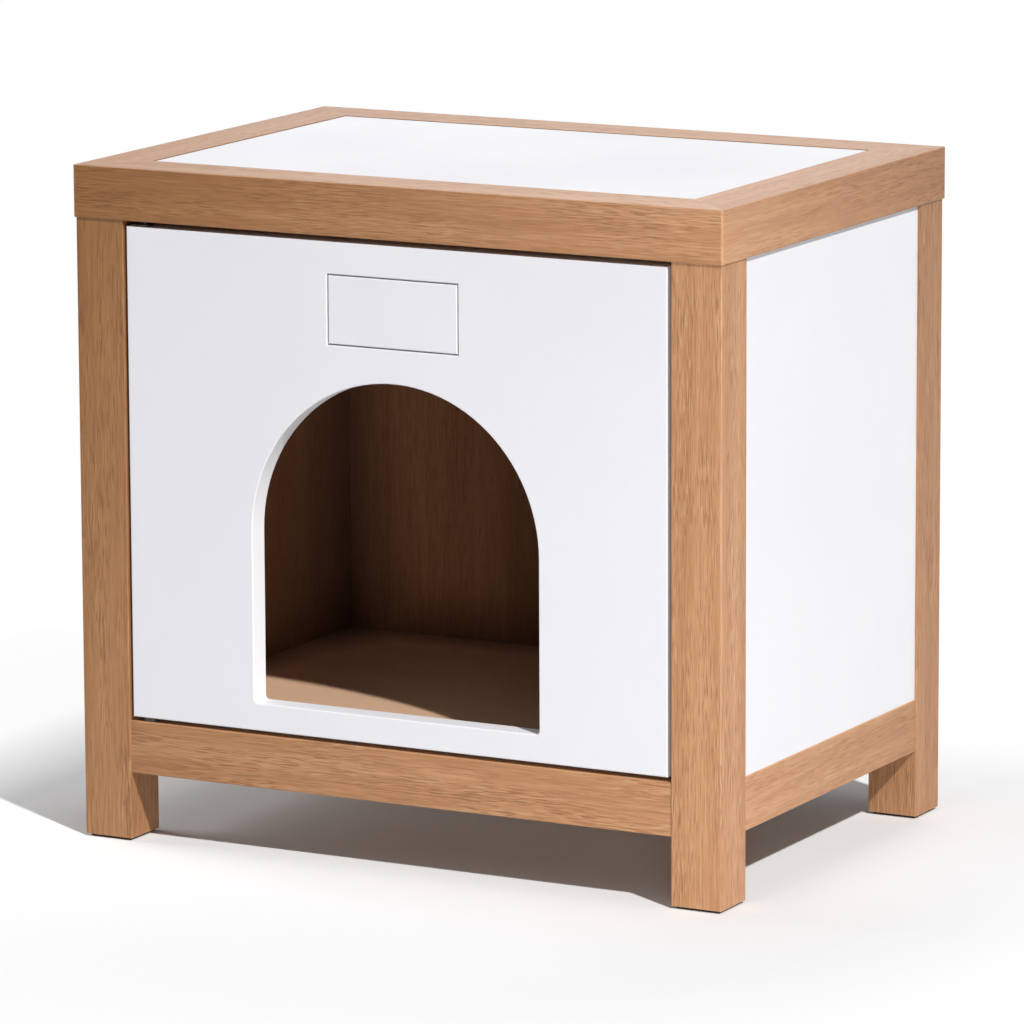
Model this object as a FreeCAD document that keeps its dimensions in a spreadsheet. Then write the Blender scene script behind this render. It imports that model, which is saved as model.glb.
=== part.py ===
import FreeCAD, Part
import os
import Sketcher

# Cat house: a small oak-framed cabinet with white panels and a hinged door that has an arched way in.
# Millimetres. The floor is z = 0, the front looks along -Y, and the origin is the middle of the footprint.

# Driving dimensions: name, size, what it measures
DIMENSIONS = [
    ("width", 530, "over the outer faces of the posts, left to right"),
    ("depth", 370, "over the outer faces of the posts, front to rear"),
    ("post_side", 40, "side of a square post"),
    ("post_length", 465, "length of a post"),
    ("pad_inset", 3, "edge of a foot pad inside the edge of its post"),
    ("pad_thickness", 2, "thickness of a foot pad"),
    ("rail_lift", 50, "foot of a post up to a bottom rail"),
    ("rail_height", 40, "height of a bottom rail"),
    ("rail_thickness", 30, "thickness of a bottom rail"),
    ("rail_recess", 1, "face of a bottom rail behind the face of a post"),
    ("edge_round", 1, "eased edges of the oak frame"),
    ("cap_overhang", 1.5, "cap beyond the face of a post"),
    ("cap_height", 39, "height of the cap frame"),
    ("cap_face", 43, "width of the cap frame seen from above"),
    ("cap_ledge", 8, "ledge of the cap frame under the top panel"),
    ("cap_corner", 1.5, "bevel on the four upright corners of the cap"),
    ("top_panel_thickness", 12, "thickness of the top panel"),
    ("top_panel_recess", 0.4, "top panel below the top of the cap"),
    ("top_panel_gap", 0.5, "gap round the top panel"),
    ("top_panel_round", 0.6, "eased edge of the top panel"),
    ("wall_thickness", 10, "thickness of a white wall panel"),
    ("wall_recess", 2, "face of a wall panel behind the face of a post"),
    ("groove_depth", 6, "depth of the groove that a wall panel stands in"),
    ("board_fit", 0.1, "clearance on each side of a board in its groove"),
    ("lining_thickness", 6, "thickness of a lining board"),
    ("lining_overlap", 15, "rear lining over the front face of a rear post"),
    ("housing_depth", 2, "depth of the housing for a side lining in the rear lining"),
    ("floor_thickness", 12, "thickness of the floor board"),
    ("floor_gap", 1, "gap round the floor board"),
    ("door_thickness", 18, "thickness of the door"),
    ("door_recess", 1, "face of the door behind the face of a post"),
    ("swing_clearance", 0.5, "least gap between the swinging door and the frame"),
    ("latch_gap", 3.4, "gap at the free edge of the door"),
    ("door_top_gap", 4, "gap over the door"),
    ("door_bottom_gap", 3.2, "gap under the door"),
    ("door_round", 0.9, "eased edges of the door"),
    ("sill_height", 20.5, "bottom of the door up to the sill of the arch"),
    ("arch_width", 237, "width of the arched way in"),
    ("crown_band", 100.8, "crown of the arched way in up to the top of the door"),
    ("arch_corner", 3, "round in the two lower corners of the arch"),
    ("plate_width", 106, "width of the small plate"),
    ("plate_height", 50, "height of the small plate"),
    ("plate_thickness", 3, "thickness of the small plate"),
    ("plate_gap", 1.1, "groove round the small plate"),
    ("plate_recess", 0.3, "face of the small plate behind the face of the door"),
    ("plate_round", 0.8, "eased edge of the small plate, and of the recess that holds it"),
    ("plate_drop", 24.9, "small plate below the top of the door"),
    ("tape_width", 18, "width of a strip of tape behind the small plate"),
    ("tape_length", 40, "length of a strip of tape"),
    ("tape_thickness", 1, "thickness of a strip of tape"),
    ("tape_spacing", 64, "between the middles of the two strips"),
    ("pivot_inset", 12, "pivot from the hinge edge of the door"),
    ("pivot_setback", 7, "pivot from the face of the door"),
    ("pin_diameter", 5, "pivot pin"),
    ("pin_bevel", 0.5, "bevel on the ends of a pivot pin"),
    ("pin_in_frame", 14, "pivot pin inside the frame"),
    ("pin_in_door", 14, "pivot pin inside the door"),
    ("running_fit", 0.05, "radial clearance of a pin in its bush"),
    ("seat_fit", 0.03, "radial clearance of a fixed piece in its hole"),
    ("bush_wall", 1.5, "wall of a pivot bush"),
    ("bush_flange", 1.2, "thickness of the flange of a bush"),
    ("flange_diameter", 12, "flange of a bush, and the thrust washer"),
    ("bush_end_gap", 0.5, "bush beyond the end of its pin"),
    ("dowel_diameter", 8, "wooden dowel"),
    ("dowel_length", 30, "length of a dowel"),
    ("dowel_bevel", 1, "bevel on the ends of a dowel"),
    ("dowel_end_gap", 0.5, "spare depth at each end of a dowel"),
    ("dowel_rise", 10, "rail dowel above the bottom of its rail"),
    ("cam_diameter", 15, "cam lock"),
    ("cam_length", 12.5, "length of a cam lock"),
    ("cam_pocket", 13, "depth of the pocket for a cam lock"),
    ("cam_axis", 9.5, "axis of a cam bolt behind the face of its cam lock"),
    ("cam_reach", 24, "joint to the middle of a cam lock"),
    ("cam_rise", 20, "cam lock above the bottom of its rail"),
    ("cam_cross", 8, "length of the cross slot in a cam lock"),
    ("cam_cross_width", 1.6, "width of the cross slot"),
    ("cam_cross_depth", 2.5, "depth of the cross slot"),
    ("cam_mouth", 7.2, "opening of a cam lock round its bolt"),
    ("cam_mouth_depth", 3, "opening of a cam lock past its middle"),
    ("bolt_diameter", 6, "thread and shank of a cam bolt"),
    ("bolt_thread", 11, "length of the thread of a cam bolt"),
    ("bolt_neck", 4, "neck of a cam bolt"),
    ("bolt_neck_length", 5, "length of the neck of a cam bolt"),
    ("bolt_head", 6.4, "head of a cam bolt"),
    ("bolt_head_length", 3, "length of the head of a cam bolt"),
    ("bolt_hole", 8, "clearance hole for a cam bolt"),
    ("cap_dowel_near", 12, "cap dowel from the nearer outer face of its post"),
    ("cap_dowel_far", 28, "cap dowel from the farther outer face of its post"),
    ("cap_cam_offset", 22, "cap cam bolt from the outer face beside its cam lock"),
    ("spline_thickness", 4, "mitre spline"),
    ("spline_run", 8, "half of a spline along each rail"),
    ("spline_bite", 6, "spline into each rail, along the rail"),
    ("spline_rise", 18, "middle of a spline above the bottom of the cap"),
    ("screw_diameter", 3.2, "shank of a wood screw"),
    ("screw_head", 7, "countersunk head of a wood screw"),
    ("screw_tip", 3, "length of the point of a wood screw"),
    ("screw_cross", 4, "length of the cross slot in a screw"),
    ("screw_cross_width", 0.9, "width of the cross slot in a screw"),
    ("screw_cross_depth", 1.1, "depth of the cross slot in a screw"),
    ("screw_fit", 0.05, "radial clearance round a screw"),
    ("lining_screw", 16, "length of a lining screw"),
    ("floor_screw", 28, "length of a floor screw"),
    ("catch_screw", 12, "length of a catch or strike screw"),
    ("lining_screw_low", 40, "lowest lining screw above the floor board"),
    ("lining_screw_high", 60, "highest lining screw below the cap"),
    ("lining_screw_edge", 7.5, "lining screw from the edge of its board"),
    ("floor_screw_edge", 6.5, "floor screw from the edge of the floor board"),
    ("floor_screw_side", 55, "outer floor screws of a side rail from the ends of the rail"),
    ("floor_screw_rear", 105, "outer floor screws of the rear rail from the ends of the rail"),
    ("catch_length", 46, "length of the catch body"),
    ("catch_flange", 4, "thickness of the flange of the catch body"),
    ("catch_block", 26, "length of the block under the flange"),
    ("catch_height", 14, "height of the catch body"),
    ("catch_depth", 15, "depth of the catch body"),
    ("catch_inset", 30, "catch body from the post at the free edge of the door"),
    ("catch_air_gap", 0.4, "pole plates to the strike plate"),
    ("catch_screw_spacing", 36, "between the two catch screws"),
    ("magnet_length", 20, "length of the catch magnet"),
    ("magnet_height", 4, "height of the catch magnet"),
    ("magnet_depth", 10, "depth of the catch magnet"),
    ("pole_thickness", 1.5, "thickness of a pole plate"),
    ("pole_proud", 0.6, "pole plate proud of the catch body"),
    ("strike_length", 40, "length of the strike plate"),
    ("strike_height", 12, "height of the strike plate"),
    ("strike_thickness", 2, "thickness of the strike plate"),
    ("strike_screw_spacing", 28, "between the two strike screws"),
    ("strike_drop", 2, "strike plate below the top of the door"),
]

doc = FreeCAD.newDocument("cat_house")
sheet = doc.addObject("Spreadsheet::Sheet", "dims")
for row, (alias, size, meaning) in enumerate(DIMENSIONS, start=1):
    sheet.set(f"A{row}", meaning)
    sheet.set(f"B{row}", str(size))
    sheet.setAlias(f"B{row}", alias)
doc.recompute()
reader = doc.addObject("App::FeaturePython", "reader")

# Places that several pieces share, as expressions of the sheet
HALF_W = "(dims.width / 2)"
HALF_D = "(dims.depth / 2)"
HALF_POST = "(dims.post_side / 2)"
RAIL_BOTTOM = "(dims.pad_thickness + dims.rail_lift)"
RAIL_TOP = f"({RAIL_BOTTOM} + dims.rail_height)"
FLOOR_TOP = f"({RAIL_TOP} + dims.floor_thickness)"
CAP_BOTTOM = "(dims.pad_thickness + dims.post_length)"
CAP_TOP = f"({CAP_BOTTOM} + dims.cap_height)"
CAP_WIDTH = "(dims.cap_face + dims.cap_ledge)"
WALL_BACK = "(dims.wall_recess + dims.wall_thickness)"
HINGE_GAP = "(sqrt(dims.pivot_inset^2 + dims.pivot_setback^2) - dims.pivot_inset + dims.swing_clearance)"
DOOR_LEFT = f"(dims.post_side + {HINGE_GAP} - {HALF_W})"
DOOR_RIGHT = f"({HALF_W} - dims.post_side - dims.latch_gap)"
DOOR_BOTTOM = f"({RAIL_TOP} + dims.door_bottom_gap)"
DOOR_TOP = f"({CAP_BOTTOM} - dims.door_top_gap)"
DOOR_HEIGHT = f"({DOOR_TOP} - {DOOR_BOTTOM})"
DOOR_FRONT = f"(dims.door_recess - {HALF_D})"
DOOR_BACK = f"({DOOR_FRONT} + dims.door_thickness)"
PIVOT_X = f"({DOOR_LEFT} + dims.pivot_inset)"
PIVOT_Y = f"({DOOR_FRONT} + dims.pivot_setback)"
PIN_RADIUS = "(dims.pin_diameter / 2)"
BUSH_BORE = f"({PIN_RADIUS} + dims.running_fit)"
BUSH_RADIUS = f"({BUSH_BORE} + dims.bush_wall)"
BUSH_LENGTH = "(dims.pin_in_door + dims.bush_end_gap)"
PLATE_BOTTOM = f"({DOOR_HEIGHT} - dims.plate_drop - dims.plate_height)"
PLATE_MIDDLE = f"({PLATE_BOTTOM} + dims.plate_height / 2)"
PLATE_BED = "(dims.plate_recess + dims.plate_thickness + dims.tape_thickness)"
SCREW_RADIUS = "(dims.screw_diameter / 2)"
SCREW_HOLE = f"({SCREW_RADIUS} + dims.screw_fit)"
HEEL_RADIUS = "sqrt(dims.pivot_inset^2 + (dims.door_thickness - dims.pivot_setback)^2)"
CABIN_FRONT = f"({PIVOT_Y} + {HEEL_RADIUS} + dims.swing_clearance)"
REAR_LINING_FRONT = f"({HALF_D} - dims.post_side - dims.lining_thickness)"
SCREW_LEVELS = [
    f"({FLOOR_TOP} + dims.lining_screw_low)",
    f"(({FLOOR_TOP} + dims.lining_screw_low + {CAP_BOTTOM} - dims.lining_screw_high) / 2)",
    f"({CAP_BOTTOM} - dims.lining_screw_high)",
]
CATCH_MIDDLE = f"({HALF_W} - dims.post_side - dims.catch_inset - dims.catch_length / 2)"
CATCH_FRONT = f"({DOOR_BACK} + dims.strike_thickness + dims.catch_air_gap + dims.pole_proud)"
STRIKE_MIDDLE = f"({DOOR_TOP} - dims.strike_drop - dims.strike_height / 2)"

# Each side of the house: direction inwards, size along it, place of a point that lies so far inside its face
SIDES = {
    "front": ((0, 1, 0), "dims.width", lambda inset: ("0", f"({inset}) - {HALF_D}")),
    "right": ((-1, 0, 0), "dims.depth", lambda inset: (f"{HALF_W} - ({inset})", "0")),
    "rear": ((0, -1, 0), "dims.width", lambda inset: ("0", f"{HALF_D} - ({inset})")),
    "left": ((1, 0, 0), "dims.depth", lambda inset: (f"({inset}) - {HALF_W}", "0")),
}
# Each corner of the house: sign of x and of y
CORNERS = {
    "front_left": (-1, -1),
    "front_right": (1, -1),
    "rear_left": (-1, 1),
    "rear_right": (1, 1),
}
BEYOND = 1.0  # how far a cut runs past the face that it opens
TOUCH = 1e-6  # coordinates closer than this are the same
UP = FreeCAD.Vector(0, 0, 1)
pieces = []


def number(text):
    """The size that an expression of the sheet comes to."""
    return float(reader.evalExpression(text))


def new_body(label, kept=True):
    """A body; the kept ones are pieces of the house, the others are patterns for groups of fasteners."""
    body = doc.addObject("PartDesign::Body", label)
    body.Label = label
    if kept:
        pieces.append(body)
    return body


def place(item, x="0", y="0", z="0", rotation=FreeCAD.Rotation()):
    item.Placement = FreeCAD.Placement(FreeCAD.Vector(), rotation)
    for axis, text in zip("xyz", (x, y, z)):
        item.setExpression(f"Placement.Base.{axis}", text)


def turn(degrees):
    return FreeCAD.Rotation(UP, degrees)


def facing(inwards):
    """The rotation that points a rail's or a panel's own +Y inwards and keeps it upright."""
    return FreeCAD.Rotation(FreeCAD.Vector(), FreeCAD.Vector(*inwards), UP, "ZYX")


def aim(direction):
    """The rotation that points a fastener's own +Z along a direction."""
    return FreeCAD.Rotation(UP, FreeCAD.Vector(*direction))


def sketch_on(body, role, offset="0"):
    sketch = body.newObject("Sketcher::SketchObject", f"{body.Label}_sketch")
    plane = next(feature for feature in body.Origin.OriginFeatures if feature.Role == role)
    sketch.AttachmentSupport = (plane, [""])
    sketch.MapMode = "FlatFace"
    sketch.setExpression("AttachmentOffset.Base.z", offset)
    return sketch


def hold(sketch, kind, geometry, point, text):
    """Ties one coordinate of a point to an expression."""
    index = sketch.addConstraint(Sketcher.Constraint(kind, -1, 1, geometry, point, number(text)))
    sketch.setExpression(f"Constraints[{index}]", text)


def outline(sketch, points):
    """A closed outline of straight lines through points given as expressions."""
    spots = [FreeCAD.Vector(number(x), number(y), 0) for x, y in points]
    ends = spots[1:] + spots[:1]
    lines = [sketch.addGeometry(Part.LineSegment(start, end)) for start, end in zip(spots, ends)]
    for line, following in zip(lines, lines[1:] + lines[:1]):
        sketch.addConstraint(Sketcher.Constraint("Coincident", line, 2, following, 1))
    for line, (x, y) in zip(lines, points):
        hold(sketch, "DistanceX", line, 1, x)
        hold(sketch, "DistanceY", line, 1, y)


def rectangle(sketch, x0, x1, y0, y1):
    outline(sketch, [(x0, y0), (x1, y0), (x1, y1), (x0, y1)])


def circle(sketch, x, y, radius):
    middle = FreeCAD.Vector(number(x), number(y), 0)
    ring = sketch.addGeometry(Part.Circle(middle, UP, number(radius)))
    hold(sketch, "DistanceX", ring, 3, x)
    hold(sketch, "DistanceY", ring, 3, y)
    index = sketch.addConstraint(Sketcher.Constraint("Radius", ring, number(radius)))
    sketch.setExpression(f"Constraints[{index}]", radius)


def pad(body, sketch, length, backwards=False):
    feature = body.newObject("PartDesign::Pad", f"{body.Label}_pad")
    feature.Profile = sketch
    feature.Reversed = backwards
    feature.setExpression("Length", length)
    doc.recompute()


def check_cut(body, before):
    doc.recompute()
    if body.Shape.Volume > before - TOUCH:
        raise RuntimeError(f"a cut in {body.Label} takes nothing away")


def pocket(body, sketch, depth, backwards=False):
    """Cuts a sketch into a body and makes sure that something was cut."""
    before = body.Shape.Volume
    feature = body.newObject("PartDesign::Pocket", f"{body.Label}_pocket")
    feature.Profile = sketch
    feature.Reversed = backwards
    feature.setExpression("Length", depth)
    check_cut(body, before)


def drill(body, role, offset, centres, radius, depth, backwards=False):
    sketch = sketch_on(body, role, offset)
    for x, y in centres:
        circle(sketch, x, y, radius)
    pocket(body, sketch, depth, backwards)


def screw_holes(body, role, offset, centres, backwards=False):
    """Through holes, countersunk for wood screws."""
    before = body.Shape.Volume
    sketch = sketch_on(body, role, offset)
    for x, y in centres:
        circle(sketch, x, y, SCREW_HOLE)
    doc.recompute()
    feature = body.newObject("PartDesign::Hole", f"{body.Label}_hole")
    feature.Profile = sketch
    feature.Reversed = backwards
    feature.DepthType = "ThroughAll"
    feature.HoleCutType = "Countersink"
    feature.HoleCutCustomValues = True
    feature.HoleCutCountersinkAngle = 90
    feature.setExpression("Diameter", f"2 * {SCREW_HOLE}")
    feature.setExpression("HoleCutDiameter", "dims.screw_head + 2 * dims.screw_fit")
    check_cut(body, before)


def ease(body, radius, chosen):
    """Rounds the edges that a test picks out."""
    doc.recompute()
    tip = body.Tip
    names = [f"Edge{n}" for n, edge in enumerate(tip.Shape.Edges, start=1) if chosen(edge)]
    feature = body.newObject("PartDesign::Fillet", f"{body.Label}_round")
    feature.Base = (tip, names)
    feature.setExpression("Radius", radius)
    doc.recompute()


def runs_along(edge, axis):
    box = edge.BoundBox
    lengths = {"x": box.XLength, "y": box.YLength, "z": box.ZLength}
    return all(size < TOUCH for name, size in lengths.items() if name != axis)


def lies_at(edge, axis, value):
    box = edge.BoundBox
    low, high = {"x": (box.XMin, box.XMax), "y": (box.YMin, box.YMax), "z": (box.ZMin, box.ZMax)}[axis]
    return abs(low - value) < TOUCH and abs(high - value) < TOUCH


def turned(label, profile, kept=True):
    """A round piece from half of its section: points of radius and height."""
    body = new_body(label, kept)
    sketch = sketch_on(body, "XZ_Plane")
    outline(sketch, profile)
    feature = body.newObject("PartDesign::Revolution", f"{label}_turn")
    feature.Profile = sketch
    feature.ReferenceAxis = (sketch, ["V_Axis"])
    feature.Angle = 360
    doc.recompute()
    return body


def board(label, x_size, y_size, thickness, kept=True):
    """A flat rectangular board with its middle over the origin and its underside at z = 0."""
    body = new_body(label, kept)
    sketch = sketch_on(body, "XY_Plane")
    rectangle(sketch, f"-({x_size}) / 2", f"({x_size}) / 2", f"-({y_size}) / 2", f"({y_size}) / 2")
    pad(body, sketch, thickness)
    return body


def cross_slot(body, length, width, depth):
    """A cross for a screwdriver, in the top face at z = 0."""
    far, near = f"{length} / 2", f"{width} / 2"
    arm = [(far, f"-{near}"), (far, near), (near, near)]
    points = []
    for _ in range(4):
        points += arm
        arm = [(f"-({y})", x) for x, y in arm]
    sketch = sketch_on(body, "XY_Plane")
    outline(sketch, points)
    pocket(body, sketch, depth)


def group(label, pattern, places):
    """One piece made of separate copies of a pattern, each at its own place and rotation."""
    copies = []
    for x, y, z, rotation in places:
        copy = doc.addObject("App::Link", f"{label}_copy")
        copy.LinkedObject = pattern
        place(copy, x, y, z, rotation)
        copies.append(copy)
    compound = doc.addObject("Part::Compound", label)
    compound.Label = label
    compound.Links = copies
    pieces.append(compound)


def from_outer(sign, inset):
    """A coordinate inside a post that lies so far in from the post's outer face."""
    return f"{sign} * ({HALF_POST} - ({inset}))"


def make_post(corner):
    sx, sy = CORNERS[corner]
    post = board(f"{corner}_post", "dims.post_side", "dims.post_side", "dims.post_length")
    ease(post, "dims.edge_round", lambda edge: runs_along(edge, "z"))

    # Grooves for the wall panels stop at the bottom rail
    wall_height = f"{CAP_BOTTOM} - {RAIL_TOP}"
    near, far = "dims.wall_recess - dims.board_fit", f"{WALL_BACK} + dims.board_fit"
    mouth, bed = f"dims.post_side + {BEYOND}", "dims.post_side - dims.groove_depth"
    groove = sketch_on(post, "XY_Plane", "dims.post_length")
    rectangle(groove, from_outer(sx, near), from_outer(sx, far), from_outer(sy, bed), from_outer(sy, mouth))
    pocket(post, groove, wall_height)
    if sy > 0:
        rear_groove = sketch_on(post, "XY_Plane", "dims.post_length")
        rectangle(
            rear_groove, from_outer(sx, bed), from_outer(sx, mouth), from_outer(sy, near), from_outer(sy, far)
        )
        pocket(post, rear_groove, wall_height)

    # Holes in the two inner faces: the x face looks at the other side, the y face at the other end
    def drill_x_face(inset, level, radius, depth):
        centre = (from_outer(sy, inset), level)
        drill(post, "YZ_Plane", f"{-sx} * {HALF_POST}", [centre], radius, depth, backwards=sx > 0)

    def drill_y_face(inset, level, radius, depth):
        centre = (from_outer(sx, inset), level)
        drill(post, "XZ_Plane", f"{sy} * {HALF_POST}", [centre], radius, depth, backwards=sy < 0)

    dowel_hole = "dims.dowel_diameter / 2 + dims.seat_fit"
    dowel_depth = "dims.dowel_length / 2 + dims.dowel_end_gap"
    thread_hole = "dims.bolt_diameter / 2 + dims.seat_fit"
    for drill_face in (drill_x_face, drill_y_face):
        drill_face(
            "dims.rail_recess + dims.rail_thickness / 2", "dims.rail_lift + dims.dowel_rise", dowel_hole, dowel_depth
        )
        drill_face(
            "dims.rail_recess + dims.rail_thickness - dims.cam_axis",
            "dims.rail_lift + dims.cam_rise",
            thread_hole,
            "dims.bolt_thread",
        )

    # The cap is held by a dowel, and by a cam bolt whose cam lock is hidden in the hollow of the wall
    cam_level = "dims.post_length - dims.cam_reach"
    cam_hole = "dims.cam_diameter / 2 + dims.seat_fit"
    bolt_x, bolt_y = cap_bolt_insets(sy)
    dowel_x, dowel_y = cap_dowel_insets(sy)
    cam_face = drill_y_face if sy < 0 else drill_x_face
    cam_face("dims.cap_cam_offset", cam_level, cam_hole, "dims.cam_pocket")
    bolt_spot = [(from_outer(sx, bolt_x), from_outer(sy, bolt_y))]
    dowel_spot = [(from_outer(sx, dowel_x), from_outer(sy, dowel_y))]
    drill(post, "XY_Plane", "dims.post_length", bolt_spot, "dims.bolt_hole / 2", "dims.cam_reach")
    drill(post, "XY_Plane", "dims.post_length", dowel_spot, dowel_hole, dowel_depth)

    # Pilot holes for the lining screws
    lining_depth = "dims.lining_screw - dims.lining_thickness"
    for level in SCREW_LEVELS:
        height = f"{level} - dims.pad_thickness"
        if sy < 0:
            inset = f"{CABIN_FRONT} + dims.lining_screw_edge + {HALF_D}"
            drill_x_face(inset, height, SCREW_HOLE, lining_depth)
        else:
            inset = "dims.post_side - dims.lining_overlap + dims.lining_screw_edge"
            drill_y_face(inset, height, SCREW_HOLE, lining_depth)
    place(post, f"{sx} * ({HALF_W} - {HALF_POST})", f"{sy} * ({HALF_D} - {HALF_POST})", "dims.pad_thickness")


def cap_bolt_insets(sy):
    """Cap cam bolt from the outer x face and the outer y face of its post."""
    behind_face = "(dims.post_side - dims.cam_axis)"
    return ("dims.cap_cam_offset", behind_face) if sy < 0 else (behind_face, "dims.cap_cam_offset")


def cap_dowel_insets(sy):
    """Cap dowel from the outer x face and the outer y face of its post."""
    near, far = "dims.cap_dowel_near", "dims.cap_dowel_far"
    return (far, near) if sy < 0 else (near, far)


def make_foot_pad(corner):
    sx, sy = CORNERS[corner]
    side = "dims.post_side - 2 * dims.pad_inset"
    foot = board(f"{corner}_foot_pad", side, side, "dims.pad_thickness")
    place(foot, f"{sx} * ({HALF_W} - {HALF_POST})", f"{sy} * ({HALF_D} - {HALF_POST})")


def make_bottom_rail(side):
    inwards, span, spot = SIDES[side]
    half = f"({span} / 2 - dims.post_side)"
    rail = new_body(f"{side}_bottom_rail")
    plan = sketch_on(rail, "XY_Plane")
    rectangle(plan, f"-{half}", half, "0", "dims.rail_thickness")
    pad(rail, plan, "dims.rail_height")
    ease(rail, "dims.edge_round", lambda edge: runs_along(edge, "x"))

    # A cam lock near each end, with its bolt hole and a dowel hole in the end grain
    cam_x = f"({half} - dims.cam_reach)"
    cams = [(f"-{cam_x}", "dims.cam_rise"), (cam_x, "dims.cam_rise")]
    cam_hole = "dims.cam_diameter / 2 + dims.seat_fit"
    drill(rail, "XZ_Plane", "-dims.rail_thickness", cams, cam_hole, "dims.cam_pocket", backwards=True)
    bolt = [("dims.rail_thickness - dims.cam_axis", "dims.cam_rise")]
    dowel = [("dims.rail_thickness / 2", "dims.dowel_rise")]
    dowel_hole = "dims.dowel_diameter / 2 + dims.seat_fit"
    dowel_depth = "dims.dowel_length / 2 + dims.dowel_end_gap"
    for sign in (-1, 1):
        end = f"{sign} * {half}"
        drill(rail, "YZ_Plane", end, bolt, "dims.bolt_hole / 2", "dims.cam_reach", backwards=sign < 0)
        drill(rail, "YZ_Plane", end, dowel, dowel_hole, dowel_depth, backwards=sign < 0)

    if side == "front":
        pin = [(PIVOT_X, f"{PIVOT_Y} + {HALF_D} - dims.rail_recess")]
        pin_hole = f"{PIN_RADIUS} + dims.seat_fit"
        drill(rail, "XY_Plane", "dims.rail_height", pin, pin_hole, "dims.pin_in_frame")
    else:
        inset, outer = floor_screw_row(side)
        screws = [(f"{n} * {outer}", f"{inset} - dims.rail_recess") for n in (-1, 0, 1)]
        depth = "dims.floor_screw - dims.floor_thickness"
        drill(rail, "XY_Plane", "dims.rail_height", screws, SCREW_HOLE, depth)
    x, y = spot("dims.rail_recess")
    place(rail, x, y, RAIL_BOTTOM, facing(inwards))


def floor_screw_row(side):
    """A row of three floor screws: how far in from the face of the posts, and the outer ones from the middle."""
    _, span, _ = SIDES[side]
    inset = f"{WALL_BACK} + dims.floor_gap + dims.floor_screw_edge"
    from_end = "dims.floor_screw_rear" if side == "rear" else "dims.floor_screw_side"
    return inset, f"({span} / 2 - dims.post_side - {from_end})"


def make_cap_rail(side):
    inwards, span, spot = SIDES[side]
    half = f"({span} / 2 + dims.cap_overhang)"
    rail = new_body(f"cap_{side}_rail")
    bevel = "dims.cap_corner"
    right_half = [
        (f"{half} - {bevel}", "0"),
        (f"{half} - {bevel} / 2", f"{bevel} / 2"),
        (f"{half} - {CAP_WIDTH}", CAP_WIDTH),
    ]
    left_half = [(f"-({x})", y) for x, y in reversed(right_half)]
    plan = sketch_on(rail, "XY_Plane")
    outline(plan, right_half + left_half)
    pad(rail, plan, "dims.cap_height")
    ease(rail, "dims.edge_round", lambda edge: runs_along(edge, "x") and lies_at(edge, "y", 0))

    # Rebate for the top panel
    rebate = sketch_on(rail, "XY_Plane", "dims.cap_height")
    rectangle(rebate, f"-{half}", half, "dims.cap_face", f"{CAP_WIDTH} + {BEYOND}")
    pocket(rail, rebate, "dims.top_panel_thickness + dims.top_panel_recess")

    # Slot for a spline in each mitre
    middle, run, bite = f"({CAP_WIDTH} / 2)", "dims.spline_run", "dims.spline_bite"
    corners = [
        (f"{middle} - {run} - {BEYOND}", f"{middle} - {run} + {BEYOND}"),
        (f"{middle} + {run} - {BEYOND}", f"{middle} + {run} + {BEYOND}"),
        (f"{middle} + {run} + {bite}", f"{middle} + {run} - {bite}"),
        (f"{middle} - {run} + {bite}", f"{middle} - {run} - {bite}"),
    ]
    for sign in (-1, 1):
        slot = sketch_on(rail, "XY_Plane", "dims.spline_rise - dims.spline_thickness / 2")
        outline(slot, [(f"{sign} * ({half} - ({u}))", v) for u, v in corners])
        pocket(rail, slot, "dims.spline_thickness", backwards=True)

    # Holes in the underside over the posts
    dowel_hole = "dims.dowel_diameter / 2 + dims.seat_fit"
    dowel_depth = "dims.dowel_length / 2 + dims.dowel_end_gap"
    thread_hole = "dims.bolt_diameter / 2 + dims.seat_fit"

    def over_post(sign, along, inset):
        return (f"{sign} * ({half} - dims.cap_overhang - ({along}))", f"{inset} + dims.cap_overhang")

    dowels, bolts = [], []
    if side == "front":
        along, inset = cap_dowel_insets(-1)
        dowels = [over_post(sign, along, inset) for sign in (-1, 1)]
    elif side == "rear":
        along, inset = cap_bolt_insets(1)
        bolts = [over_post(sign, along, inset) for sign in (-1, 1)]
    else:
        front_end = -1 if side == "right" else 1
        inset, along = cap_bolt_insets(-1)
        bolts = [over_post(front_end, along, inset)]
        inset, along = cap_dowel_insets(1)
        dowels = [over_post(-front_end, along, inset)]
    if dowels:
        drill(rail, "XY_Plane", "0", dowels, dowel_hole, dowel_depth, backwards=True)
    if bolts:
        drill(rail, "XY_Plane", "0", bolts, thread_hole, "dims.bolt_thread", backwards=True)

    if side == "front":
        from_face = f"{HALF_D} + dims.cap_overhang"
        pin = [(PIVOT_X, f"{PIVOT_Y} + {from_face}")]
        drill(rail, "XY_Plane", "0", pin, f"{PIN_RADIUS} + dims.seat_fit", "dims.pin_in_frame", backwards=True)
        screws = [(x, f"{y} + {from_face}") for x, y in catch_screw_spots()]
        drill(rail, "XY_Plane", "0", screws, SCREW_HOLE, "dims.catch_screw - dims.catch_flange", backwards=True)
    x, y = spot("-dims.cap_overhang")
    place(rail, x, y, CAP_BOTTOM, facing(inwards))


def make_top_panel():
    margin = "2 * (dims.cap_face - dims.cap_overhang + dims.top_panel_gap)"
    thickness = "dims.top_panel_thickness"
    panel = board("top_panel", f"dims.width - {margin}", f"dims.depth - {margin}", thickness)
    top = number(thickness)
    ease(panel, "dims.top_panel_round", lambda edge: lies_at(edge, "z", top))
    place(panel, z=f"{CAP_TOP} - dims.top_panel_recess - {thickness}")


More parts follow.
